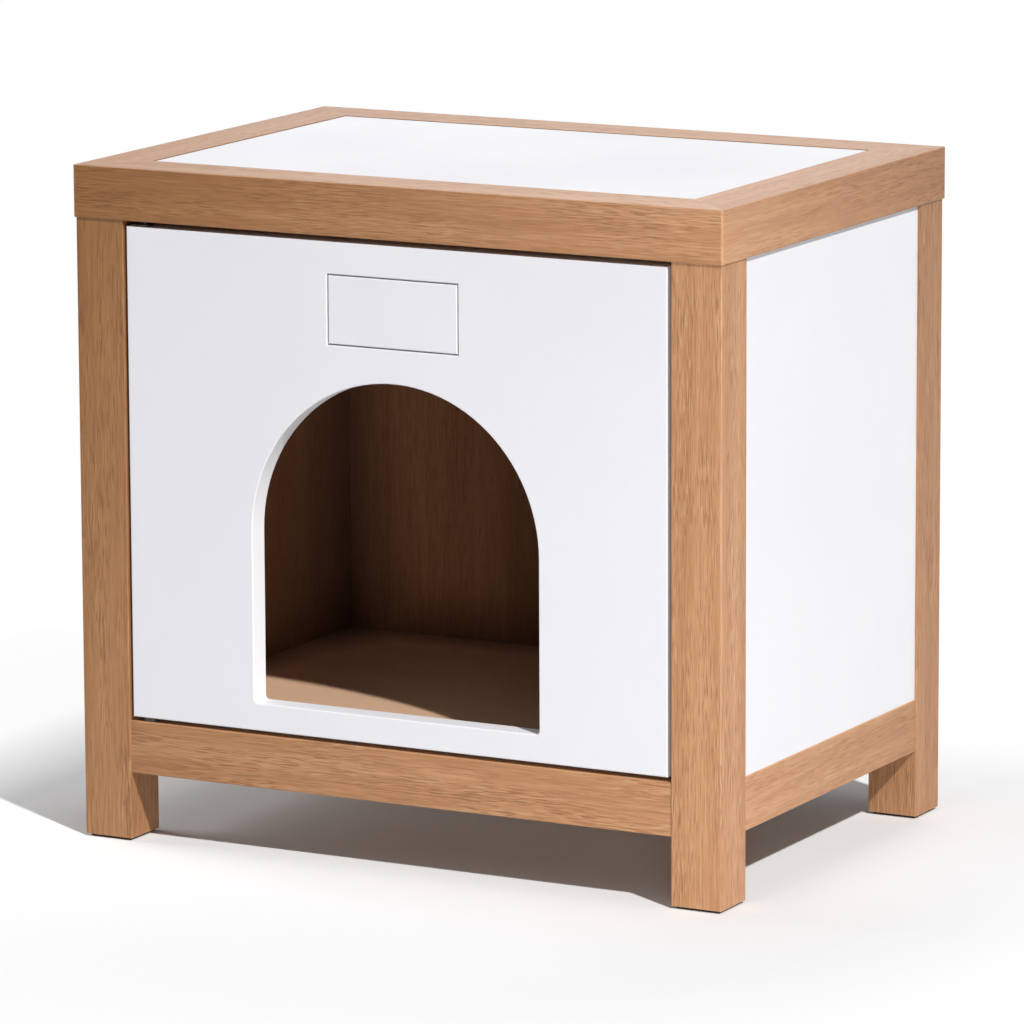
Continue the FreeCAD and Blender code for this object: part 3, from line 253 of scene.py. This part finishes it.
print("the sunny corner is at", [round(v, 3) for v in SUNNY_CORNER])

# %% [markdown]
# ## Layers of oak
# The frame has the warm mid brown of oiled oak, with short fine pores that hold a shadow on one side and
# catch the light on the other. Layers of stretched noise make it: broad bands of tone, fibres, dark pores
# and pale flecks. For each layer we note how fast it changes and how much of it shows. The numbers could
# stand in the recipe itself, but side by side they are easier to try out.

# %% Colours and layers
OAK_DARK = paint("AE7B53")
OAK_MID = paint("C18D65")
OAK_PALE = paint("D2A179")
OAK_PORE = paint("74492B")
OAK_FLECK = paint("DAB088")
OAK_EDGE_WEAR_AND_HIGHLIGHT = paint("DBB08A")

# Changes per metre along the grain and across it.
BANDS = (1.8, 60.0)
FIBRES = (22.0, 700.0)
PATCHES = (9.0, 55.0)
PORES = (72.0, 980.0)
FLECKS = (66.0, 980.0)

# Where a layer begins in its noise, and where it is full.
DARK_TO_MID = (0.05, 0.5)
MID_TO_PALE = (0.5, 0.95)
CROWDED = (0.36, 0.62)
IN_PORE = (0.54, 0.68)
IN_FLECK = (0.56, 0.68)

FEWEST = 0.3
PORE_SHARE, FLECK_SHARE, EDGE_WEAR_AND_HIGHLIGHT_SHARE = 0.40, 0.48, 0.5
OAK_GLOSS = (0.42, 0.52)
PORE_ROUGHER, RUBBED_SMOOTHER = 0.14, 0.08
FIBRE_HEIGHT = 0.3
OAK_DENT, OAK_DENT_DEPTH = 0.4, 0.0004
OAK_EDGE_REACH = 0.0012
OAK_OIL = {"Coat Weight": 0.2, "Coat Roughness": 0.3, "Specular IOR Level": 0.3}
print("oak runs from", [round(c, 3) for c in OAK_DARK[:3]], "to", [round(c, 3) for c in OAK_PALE[:3]])

# %% [markdown]
# ## Oak
# The recipe lays these layers over each other, from the ground tone to the rubbed edges, which are pale
# partly from wear and partly as a painted highlight, and last the painted shade away from the lit corner or a
# lining's stain. The pores also dent the surface, so the lamps draw their lit lips. Each board gets its own
# seed, because two boards are never cut from the same spot of a tree.

# %% The oak recipe
def oak(name, axis, seed, strength=1.0, stain=None):
    """Oak with its grain along an axis; a lining has a stain: how much, which colour, and the blend."""
    finish, shader = start_finish(name)
    bands = grain(finish, axis, *BANDS, seed, distortion=0.15)
    fibres = grain(finish, axis, *FIBRES, seed + 3.1)
    patches = grain(finish, axis, *PATCHES, seed + 5.3, detail=1.0)
    pore_noise = grain(finish, axis, *PORES, seed + 7.7, detail=0.0)
    fleck_noise = grain(finish, axis, *FLECKS, seed + 11.9, detail=0.0)

    tone = sums(finish, "ADD", swing(finish, bands, 0.0, 0.5), swing(finish, fibres, 0.0, 0.5))
    darker = tint(finish, span(finish, tone, *DARK_TO_MID), OAK_DARK, OAK_MID)
    ground = tint(finish, span(finish, tone, *MID_TO_PALE), darker, OAK_PALE)

    crowd = span(finish, patches, *CROWDED, FEWEST, 1.0)
    pores = times(finish, span(finish, pore_noise, *IN_PORE), crowd)
    flecks = times(finish, span(finish, fleck_noise, *IN_FLECK), crowd)
    with_pores = tint(finish, times(finish, pores, PORE_SHARE * strength), ground, OAK_PORE)
    with_flecks = tint(finish, times(finish, flecks, FLECK_SHARE * strength), with_pores, OAK_FLECK)
    # Pale edges: partly wear, partly a painted highlight where a rounded edge catches the light.
    rubbed_and_highlit = edges(finish, OAK_EDGE_REACH)
    worn_and_highlit = tint(finish, times(finish, rubbed_and_highlit, EDGE_WEAR_AND_HIGHLIGHT_SHARE), with_flecks, OAK_EDGE_WEAR_AND_HIGHLIGHT)
    # Boards without a stain get the painted shade, darker away from the lit corner.
    depth, colour, blend = stain or (shaded_side(finish), PAINTED_SHADE_TINT, "MULTIPLY")
    join(finish, tint(finish, depth, worn_and_highlit, colour, blend), shader, "Base Color")

    rough = sums(finish, "ADD", swing(finish, fibres, *OAK_GLOSS), times(finish, pores, PORE_ROUGHER))
    polished = sums(finish, "SUBTRACT", rough, times(finish, rubbed_and_highlit, RUBBED_SMOOTHER))
    join(finish, polished, shader, "Roughness")
    hollows = sums(finish, "SUBTRACT", times(finish, fibres, FIBRE_HEIGHT), pores)
    dent(finish, shader, hollows, OAK_DENT * strength, OAK_DENT_DEPTH)
    for key, value in OAK_OIL.items():
        shader.inputs[key].default_value = value
    return finish


print("oak has", len((BANDS, FIBRES, PATCHES, PORES, FLECKS)), "layers of noise")

# %% [markdown]
# ## The oak frame
# Posts stand with their grain upright. Rails and the cap lie down, so their grain runs along X at the front
# and rear and along Y at the sides, where a calmer board was chosen. Where two cap rails meet in a mitre the
# grain turns the corner, as it does on a picture frame, and that only works because each rail has a finish
# of its own.

# %% Oak on the posts and rails
OAK_BOARDS = {
    "z": ["front_left_post", "front_right_post", "rear_left_post", "rear_right_post"],
    "x": ["cap_front_rail", "front_bottom_rail", "cap_rear_rail", "rear_bottom_rail"],
    "y": ["cap_left_rail", "left_bottom_rail", "cap_right_rail", "right_bottom_rail"],
}
FIGURE = {"z": 1.0, "x": 1.0, "y": 0.55}
NEXT_SEED = 4.37


def cover(piece, finish):
    """Gives a piece one finish in all its material slots."""
    for slot in nodes[piece].material_slots:
        slot.material = finish


seed = 1.0
for axis, boards in OAK_BOARDS.items():
    for board in boards:
        cover(board, oak(f"oak_{board}", axis, seed, FIGURE[axis]))
        seed += NEXT_SEED
print(sum(len(boards) for boards in OAK_BOARDS.values()), "oak boards covered")

# %% [markdown]
# ## Painted shade in the corners
# The corners of the cabin are darkened with painted shade, deepest right in the corners. The Ambient
# Occlusion node could find the corners, but it would change whenever the door opens. We measure from the
# faces of the
# cabin instead: on a wall, the distances to the faces that meet in a corner add up to the distance from that
# corner. Each distance is weighted, so the shade creeps far along the side walls, less far along the rear
# one, and fades upwards.

# %% Painted shade measured from the cabin
CORNER_SHADE_TINT = (0.15, 0.10, 0.07, 1.0)
CORNER_REACH = 0.12
CORNER_WEIGHTS = (1.6, 0.6, 0.2)
FLOOR_WEIGHT, FLOOR_START = 2.0, 0.045


def paint_corner_shade(finish):
    """Paints shade into a finish in the corners between the walls, and between the walls and the floor."""
    x, y, z = split(finish, place_on(finish))
    to_side = sums(finish, "SUBTRACT", cabin_side, sums(finish, "ABSOLUTE", x))
    to_rear = sums(finish, "SUBTRACT", cabin_rear, y)
    to_floor = sums(finish, "SUBTRACT", z, cabin_floor)
    away = add(finish, "CombineXYZ", {0: to_side, 1: to_rear, 2: to_floor}).outputs["Vector"]
    upright = places(finish, "DOT_PRODUCT", away, CORNER_WEIGHTS, "Value")
    from_walls = sums(finish, "ADD", sums(finish, "MINIMUM", to_side, to_rear), to_floor)
    along_floor = sums(finish, "ADD", times(finish, from_walls, FLOOR_WEIGHT), FLOOR_START)
    nearest = sums(finish, "MINIMUM", upright, along_floor)
    shader = finish.node_tree.nodes["Principled BSDF"]
    unshaded = shader.inputs["Base Color"].links[0].from_socket
    # Painted shade: 1 in a corner, fading out over CORNER_REACH.
    painted_corner_shade = span(finish, nearest, CORNER_REACH, 0.0)
    join(finish, tint(finish, painted_corner_shade, unshaded, CORNER_SHADE_TINT, "MULTIPLY"), shader, "Base Color")


print("the glaze starts in the corners at", [round(v, 3) for v in (cabin_side, cabin_rear, cabin_floor)])

# %% [markdown]
# ## Oak-faced lining
# Inside, thin boards with an oak face line the walls and the floor. A veneer is sliced flat and sanded, so
# on the walls it is the same oak with weaker pores. We reuse the recipe with a lower strength: one recipe to
# keep in order is better than two. The walls are made darker, and the floor is limed to a paler tone.

# %% Lining boards
WALL_DARKENING = (1.0, (0.48, 0.415, 0.36, 1.0), "MULTIPLY")
FLOOR_STAIN = (0.7, paint("EEC9AA"), "MIX")
# The axis of the grain, the strength of the figure, and the stain.
LININGS = {
    "left_lining": ("z", 0.7, WALL_DARKENING),
    "right_lining": ("z", 0.7, WALL_DARKENING),
    "rear_lining": ("z", 0.7, WALL_DARKENING),
    "floor_board": ("x", 1.0, FLOOR_STAIN),
}

for board, (axis, strength, stain) in LININGS.items():
    lining = oak(f"oak_face_{board}", axis, seed, strength, stain)
    # Painted shade in the corners of the cabin.
    paint_corner_shade(lining)
    cover(board, lining)
    seed += NEXT_SEED
print(len(LININGS), "lining boards covered")

# %% [markdown]
# ## A thin coat and a painted highlight on the door
# The inside of the door has a single thin coat, which is a shade greyer. The cut edge of the way in is
# painted a purer white than the lacquer, as a painted highlight. Both could be slots of their own, but the
# door is one piece in the model, so the recipe finds them: the inside by its depth, the cut edge by the way
# its surface faces.

# %% Thin coat and painted highlight
THIN_COAT = paint("D4D4D8")
WAY_IN_PAINTED_LIGHT = paint("F4F4F8")
INSIDE_STARTS, INSIDE_FULL = 0.001, 0.0005
WAY_IN_HALF, WAY_IN_TOP = 0.15, 0.37
COATS_MEET = 0.01
EDGE_ON = (0.5, 0.2)


def door_coat_and_painted_light(finish, sprayed):
    """Lays the thin coat on the inside of the door, and a painted highlight on the cut edge of its way in."""
    surface = add(finish, "TexCoord").outputs
    across, depth, height = split(finish, surface["Object"])
    facing = split(finish, surface["Normal"])["Y"]
    inside = span(finish, depth, door_back - INSIDE_STARTS, door_back - INSIDE_FULL)
    edge_on = span(finish, sums(finish, "ABSOLUTE", facing), *EDGE_ON)
    inner = span(finish, sums(finish, "ABSOLUTE", across), WAY_IN_HALF, WAY_IN_HALF - COATS_MEET)
    low = span(finish, height, WAY_IN_TOP, WAY_IN_TOP - COATS_MEET)
    # Painted highlight on the cut edge of the way in.
    painted_light_on_cut_edge = times(finish, edge_on, times(finish, inner, low))
    return tint(finish, painted_light_on_cut_edge, tint(finish, inside, sprayed, THIN_COAT), WAY_IN_PAINTED_LIGHT)


print("the back of the door is at", round(door_back, 4))

# %% [markdown]
# ## White lacquer
# The walls, the top, the door and its small plate are sprayed with a white satin lacquer. Close up, sprayed
# lacquer has a faint orange-peel ripple, its gloss wanders a little, and it is thinnest on the edges. A plain
# white would look like paper. A fine noise in the bump and a slow one in the roughness are enough to make it
# a coat of paint.

# %% The lacquer recipe
LACQUER = paint("E7E7EC")
LACQUER_SHADE = paint("E4E4EA")
LACQUER_EDGE = paint("D8D8DE")
DRIFT_SCALE, PEEL_SCALE = 7.0, 420.0
CLOUDS = (0.35, 0.65)
LACQUER_GLOSS, PEEL_GLOSS = (0.40, 0.48), (0.0, 0.04)
LACQUER_EDGE_REACH, EDGE_SHARE = 0.0007, 0.5
PEEL_DENT, PEEL_DEPTH = 0.05, 0.0004
WHITE_SEED, NEXT_WHITE_SEED = 2.0, 3.3
WHITE_PIECES = [
    "top_panel", "left_wall_panel", "right_wall_panel", "rear_wall_panel", "door_panel", "name_plate",
]


def lacquer(name, seed, on_door=False):
    """White lacquer, with a thin coat and a painted highlight on the door."""
    finish, shader = start_finish(name)
    drift = round_noise(finish, DRIFT_SCALE, seed, detail=3.0)
    peel = round_noise(finish, PEEL_SCALE, seed + 2.0)
    clouded = tint(finish, span(finish, drift, *CLOUDS), LACQUER, LACQUER_SHADE)
    thin = times(finish, edges(finish, LACQUER_EDGE_REACH), EDGE_SHARE)
    sprayed = tint(finish, thin, clouded, LACQUER_EDGE)
    coat_and_light = door_coat_and_painted_light(finish, sprayed) if on_door else sprayed
    join(finish, coat_and_light, shader, "Base Color")
    rough = sums(finish, "ADD", swing(finish, drift, *LACQUER_GLOSS), swing(finish, peel, *PEEL_GLOSS))
    join(finish, rough, shader, "Roughness")
    dent(finish, shader, peel, PEEL_DENT, PEEL_DEPTH)
    return finish


for count, piece in enumerate(WHITE_PIECES):
    white_seed = WHITE_SEED + NEXT_WHITE_SEED * count
    cover(piece, lacquer(f"lacquer_{piece}", white_seed, on_door=piece == "door_panel"))
print(len(WHITE_PIECES), "lacquered pieces")

# %% [markdown]
# ## Feet
# A thin dark pad keeps each leg off the floor. Rubber is nearly black but never quite: dust and scuffs lift
# it to a brownish grey, and its surface is matt with a fine crumb. The crumb is noise in the bump, the dust a
# slow noise in the colour.

# %% Rubber pads
RUBBER, DUSTY_RUBBER = paint("1E1A18"), paint("38312C")
PADS = [f"{corner}_foot_pad" for corner in ("front_left", "front_right", "rear_left", "rear_right")]


def rubber(name):
    """Dark matt rubber with a little dust."""
    finish, shader = start_finish(name)
    dust = round_noise(finish, scale=90.0, seed=4.0, detail=3.0)
    crumb = round_noise(finish, scale=1500.0, seed=6.0)
    join(finish, tint(finish, span(finish, dust, 0.4, 0.7), RUBBER, DUSTY_RUBBER), shader, "Base Color")
    join(finish, swing(finish, crumb, 0.72, 0.9), shader, "Roughness")
    dent(finish, shader, crumb, strength=0.3, depth=0.0002)
    return finish


pad_rubber = rubber("dark_rubber_pad")
for pad in PADS:
    cover(pad, pad_rubber)
print(len(PADS), "foot pads")

# %% [markdown]
# ## Beech dowels and splines
# The joints are held by beech dowels and by loose splines in the mitres. They show only when the house is
# taken apart, but a part that is reused may well be. Beech is paler and pinker than oak, with short brown
# flecks and no open pores, so it gets a short recipe of its own on the same stretched noise.

# %% Beech
BEECH_DARK, BEECH_PALE, BEECH_FLECK = paint("C99A72"), paint("E0B88F"), paint("A87850")
BEECH_PIECES = {"rail_dowels": "x", "cap_dowels": "z", "mitre_splines": "x"}


def beech(name, axis):
    """Beech with its grain along an axis."""
    finish, shader = start_finish(name)
    fibres = grain(finish, axis, along=60.0, across=1400.0, seed=9.0, detail=3.0)
    fleck_noise = grain(finish, axis, along=160.0, across=1600.0, seed=13.0, detail=1.0)
    ground = tint(finish, swing(finish, fibres), BEECH_DARK, BEECH_PALE)
    flecked = tint(finish, span(finish, fleck_noise, 0.6, 0.72), ground, BEECH_FLECK)
    join(finish, flecked, shader, "Base Color")
    join(finish, swing(finish, fibres, 0.5, 0.62), shader, "Roughness")
    dent(finish, shader, fibres, strength=0.2, depth=0.0002)
    return finish


for piece, axis in BEECH_PIECES.items():
    cover(piece, beech(f"beech_{piece}", axis))
print(len(BEECH_PIECES), "sets of beech dowels and splines")

# %% [markdown]
# ## Metal fittings
# Cam locks are cast zinc, dull and a little mottled. Their bolts, the screws and the plates of the catch are
# bright plated steel with fine draw marks, and the pivot pins are blackened, so that they vanish in the gap
# round the door. All are metallic in the Principled shader; what tells them apart is the roughness and the
# direction of the marks.

# %% Zinc and steel
ZINC_PIECES = ["rail_cams", "cap_cams"]
BLACK_PIECES = ["lower_pivot_pin", "upper_pivot_pin"]
STEEL_PIECES = {
    "z": ["cap_cam_bolts", "floor_screws", "catch_screws"],
    "x": ["rail_cam_bolts", "lining_screws", "catch_strike_plate", "catch_pole_plates"],
    "y": ["strike_screws"],
}
GLOSS_WANDERS = 0.08


def metal(name, dull, bright, rough, axis, along, across):
    """Metal between a dull and a bright tone, with its marks along an axis."""
    finish, shader = start_finish(name)
    marks = grain(finish, axis, along, across, seed=17.0, detail=3.0)
    stains = round_noise(finish, scale=140.0, seed=21.0)
    shade = times(finish, swing(finish, marks), span(finish, stains, 0.25, 0.75, 0.5, 1.0))
    join(finish, tint(finish, shade, paint(dull), paint(bright)), shader, "Base Color")
    gloss = swing(finish, marks, rough + GLOSS_WANDERS, rough - GLOSS_WANDERS)
    join(finish, gloss, shader, "Roughness")
    dent(finish, shader, marks, strength=0.15, depth=0.0001)
    shader.inputs["Metallic"].default_value = 1.0
    return finish


zinc = metal("cast_zinc", "8C8D8F", "B9BABC", rough=0.42, axis="x", along=500.0, across=500.0)
for piece in ZINC_PIECES:
    cover(piece, zinc)
black = metal("blackened_steel", "232324", "3A3A3C", rough=0.45, axis="z", along=60.0, across=1500.0)
for piece in BLACK_PIECES:
    cover(piece, black)
for axis, pieces in STEEL_PIECES.items():
    steel = metal(f"plated_steel_{axis}", "9A9A9C", "D2D2D4", 0.28, axis, along=40.0, across=2400.0)
    for piece in pieces:
        cover(piece, steel)
print("zinc and steel fittings covered")

# %% [markdown]
# ## Plastics, magnet and tape
# The door turns in dark nylon bushes on a nylon washer, the catch has a white moulded body with a ferrite
# magnet, and strips of foam tape hold the small plate. All are small and mostly hidden, and all are moulded
# or pressed, so one recipe with a grainy bump serves, with its own colours and gloss for each.

# %% Moulded pieces
MOULD_WANDERS = 0.06


def moulded(name, low, high, rough, crumb_scale, seed):
    """A moulded or pressed finish between two tones, with a fine crumb."""
    finish, shader = start_finish(name)
    drift = round_noise(finish, 120.0, seed)
    crumb = round_noise(finish, crumb_scale, seed + 1.0)
    join(finish, tint(finish, swing(finish, drift), paint(low), paint(high)), shader, "Base Color")
    gloss = swing(finish, crumb, rough - MOULD_WANDERS, rough + MOULD_WANDERS)
    join(finish, gloss, shader, "Roughness")
    dent(finish, shader, crumb, strength=0.12, depth=0.0002)
    return finish


nylon = moulded("dark_nylon", "2E2520", "3A2F28", rough=0.45, crumb_scale=900.0, seed=25.0)
for piece in ("lower_pivot_bush", "upper_pivot_bush", "door_thrust_washer"):
    cover(piece, nylon)
cover("catch_body", moulded("white_catch_plastic", "D9D7D0", "E5E3DD", 0.38, crumb_scale=1100.0, seed=29.0))
cover("catch_magnet", moulded("ferrite", "2B2A2C", "3B3A3C", 0.6, crumb_scale=1800.0, seed=33.0))
cover("plate_tape", moulded("foam_tape", "DAD9D2", "E8E7E1", 0.85, crumb_scale=700.0, seed=37.0))


def is_bare(piece):
    """Whether a piece still lacks a finish made of nodes."""
    slots = piece.material_slots
    return not slots or not slots[0].material.use_nodes


print("pieces still bare:", [name for name, piece in nodes.items() if is_bare(piece)])

# %% [markdown]
# ## What the camera sees
# A white background should look white, yet throw only a normal amount of light on the house. The Light Path
# node tells rays apart, so one material can do both: camera, mirror and glass rays see the white, and all
# other rays meet something plainer. More light on the background would work too, but it would wash out
# the house.

# %% Rays that are seen
WHITE = (1.0, 1.0, 1.0, 1.0)


def seen_rays(finish):
    """1 for rays from the camera, from mirrors and through glass, 0 for the rest."""
    path = add(finish, "LightPath").outputs
    mirror_or_glass = sums(finish, "MAXIMUM", path["Is Glossy Ray"], path["Is Transmission Ray"])
    return sums(finish, "MAXIMUM", path["Is Camera Ray"], mirror_or_glass)


print("rays from the camera, from mirrors and through glass are told apart")

# %% [markdown]
# ## White floor
# The house stands on a white sheet that glows from below, as on a photographer's light table, and the sheet
# must carry the shadow of the house. Near the house and in front, where the door opens, it is shaded like
# paper, and a hand's breadth away its own glow takes over. A flat white floor would be simpler, but on it the
# house would seem to float.

# %% How far from the house
HALF_HOUSE = (house_right, house_rear, 0.0)
FRONT_SHARE = 0.45
FRONT_TO_REAR = (-0.01, 0.01)


def beside_house(finish):
    """How far a spot of the floor lies from the house; in front a metre counts for less."""
    place = place_on(finish)
    beyond = places(finish, "SUBTRACT", places(finish, "ABSOLUTE", place), HALF_HOUSE)
    sideways, lengthways, _ = split(finish, places(finish, "MAXIMUM", beyond))
    share = span(finish, split(finish, place)["Y"], *FRONT_TO_REAR, FRONT_SHARE, 1.0)
    shared = add(finish, "CombineXYZ", {0: sideways, 1: times(finish, lengthways, share)})
    return places(finish, "LENGTH", shared.outputs["Vector"], result="Value")


print("the floor is measured from", [round(v, 4) for v in HALF_HOUSE[:2]], "outwards")

# %% [markdown]
# ## Light table
# The table is one square, so large that its rim never shows. Its material mixes plain paper for the rays that
# only carry light with what is seen: a lit sheet near the house and a glow further off.

# %% Table and sheet
FLOOR_REACH = 40.0
GLOW_STARTS, GLOW_RISES, GLOW_FULL = 0.11, 0.24, 0.9
GLOW_SHARE = 0.93
PAPER = (0.56, 0.56, 0.56, 1.0)
SHEET = (0.825, 0.835, 0.845, 1.0)

corners = [(x * FLOOR_REACH, y * FLOOR_REACH, 0) for x, y in ((-1, -1), (1, -1), (1, 1), (-1, 1))]
floor_mesh = bpy.data.meshes.new("light_table")
floor_mesh.from_pydata(corners, [], [(0, 1, 2, 3)])
floor = bpy.data.objects.new("light_table", floor_mesh)
bpy.context.scene.collection.objects.link(floor)
floor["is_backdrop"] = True

table = bpy.data.materials.new("light_table_sheet")
table.use_nodes = True
table.node_tree.nodes.remove(table.node_tree.nodes["Principled BSDF"])
paper = add(table, "BsdfDiffuse", {"Color": PAPER}).outputs["BSDF"]
sheet = add(table, "BsdfDiffuse", {"Color": SHEET}).outputs["BSDF"]
glow = add(table, "Emission", {"Color": WHITE, "Strength": 1.0}).outputs["Emission"]
distance = beside_house(table)
near_glow = span(table, distance, GLOW_STARTS, GLOW_RISES, 0.0, GLOW_SHARE)
far_glow = span(table, distance, GLOW_RISES, GLOW_FULL, 0.0, 1.0 - GLOW_SHARE)
glows = sums(table, "ADD", near_glow, far_glow)
shown = add(table, "MixShader", {0: glows, 1: sheet, 2: glow}).outputs["Shader"]
choice = add(table, "MixShader", {0: seen_rays(table), 1: paper, 2: shown}).outputs["Shader"]
join(table, choice, table.node_tree.nodes["Material Output"], "Surface")
floor_mesh.materials.append(table)
print("light table of", 2 * FLOOR_REACH, "m")

# %% [markdown]
# ## White room
# The world gives a weak even light from all around, as pale walls would. Seen directly or in a mirror it is
# white. A backdrop behind the house would do for one view, but the world is there from every side.

# %% The world
WALL_COLOUR, WALL_LIGHT = (0.95, 0.97, 1.0, 1.0), 0.18

room = bpy.data.worlds.new("white_room")
room.use_nodes = True
bpy.context.scene.world = room
walls = add(room, "Background", {"Color": WALL_COLOUR, "Strength": WALL_LIGHT}).outputs["Background"]
white = add(room, "Background", {"Color": WHITE, "Strength": 1.0}).outputs["Background"]
seen = add(room, "MixShader", {0: seen_rays(room), 1: walls, 2: white}).outputs["Shader"]
join(room, seen, room.node_tree.nodes["World Output"], "Surface")
print("white room with walls at", WALL_LIGHT)

# %% [markdown]
# ## Lamps
# One lamp stands high on the right, a little in front, and draws the crisp shadows: the wedge of light on the
# cabin floor, the slanted shade on the legs. A Sun lamp gives its parallel rays, and its angle sets how soft
# the shadow's edge is. A low soft box off the front right corner makes both faces brighten towards that
# corner. A panel on the left lifts the shadow there and lays a faint second one on the right; it is kept out
# of reflections, because it would glare on the top. One behind gives the top its sheen, and a low lamp
# behind the house shows its back.

# %% Key lamp, soft box and panels
TO_KEY = Vector((0.613, -0.365, 0.701))
KEY_AWAY = 3.0
KEY_STRENGTH = 3.33
KEY_ANGLE = math.radians(2.0)
KEY_COLOUR = (1.0, 0.99, 0.975)

# Where each one hangs, where it points, its power in watts and its size in metres.
PANELS = {
    "soft_box": ((0.75, -1.1, 0.12), (0.15, -0.15, 0.14), 4.1, 0.24),
    "fill_panel": ((-1.6, -0.1, 0.6), (-0.3, 0, 0.05), 13.5, 0.8),
    "sheen_panel": ((-0.7, 1.7, 1.2), (0, 0, 0.4), 2.2, 1.0),
    "low_back_lamp": ((0, 1.6, 0.2), (0, 0, 0.25), 5.0, 0.4),
}


def hang(name, kind, spot, target, energy):
    """A lamp at a spot, turned to a target."""
    light = bpy.data.lights.new(name, kind)
    light.energy = energy
    lamp = bpy.data.objects.new(name, light)
    lamp.location = spot
    lamp.rotation_mode = "QUATERNION"
    lamp.rotation_quaternion = (Vector(target) - lamp.location).to_track_quat("-Z", "Y")
    bpy.context.scene.collection.objects.link(lamp)
    return lamp


key = hang("key_lamp", "SUN", TO_KEY * KEY_AWAY, (0, 0, 0), KEY_STRENGTH)
key.data.angle = KEY_ANGLE
key.data.color = KEY_COLOUR
panels = {}
for name, (spot, target, power, size) in PANELS.items():
    panels[name] = hang(name, "AREA", spot, target, power)
    panels[name].data.size = size
panels["fill_panel"].visible_glossy = False
key_height = math.degrees(math.asin(TO_KEY.normalized().z))
print("key lamp", round(key_height, 1), "degrees above the floor, and", len(panels), "panels")

# %% [markdown]
# ## Camera
# The photograph was taken from about five metres away with a long lens, which keeps upright lines nearly
# parallel. The numbers come from a fit of the model's corners to the picture: where the camera stands, which
# way it looks and how far it is rolled. We build its axes from those angles and leave the lens unshifted, so
# any other view works too.

# %% The camera from the fitted angles
CAMERA_PLACE = Vector((2.3583, -4.3971, 1.1864))
AZIMUTH = math.radians(28.222)
ELEVATION = math.radians(10.767)
ROLL = math.radians(-0.253)
LENS, SENSOR = 239.1, 36.0
FARTHEST = 100.0

level_share = math.cos(ELEVATION)
back = Vector((math.sin(AZIMUTH) * level_share, -math.cos(AZIMUTH) * level_share, math.sin(ELEVATION)))
level = Vector((0, 0, 1)).cross(back).normalized()
upright = back.cross(level)
right = math.cos(ROLL) * level + math.sin(ROLL) * upright
up = math.cos(ROLL) * upright - math.sin(ROLL) * level

lens = bpy.data.cameras.new("camera")
lens.sensor_fit = "HORIZONTAL"
lens.sensor_width = SENSOR
lens.lens = LENS
lens.clip_end = FARTHEST
camera = bpy.data.objects.new("camera", lens)
camera.matrix_world = Matrix.Translation(CAMERA_PLACE) @ Matrix((right, up, back)).transposed().to_4x4()
bpy.context.scene.collection.objects.link(camera)
bpy.context.scene.camera = camera
bpy.context.scene.view_settings.view_transform = "Standard"
print("camera", round(CAMERA_PLACE.length, 2), "m away with a", LENS, "mm lens")

# %% [markdown]
# ## Sizes
# Finishes must not change the size of the house. We measure the box of the dressed model and print how far
# it lies from the box of the CAD model.

# %% Measure the dressed box
dressed_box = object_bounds()
grown = [abs(a - b) for one, two in zip(cad_box, dressed_box) for a, b in zip(one, two)]
print("box grew by", max(grown), "m")
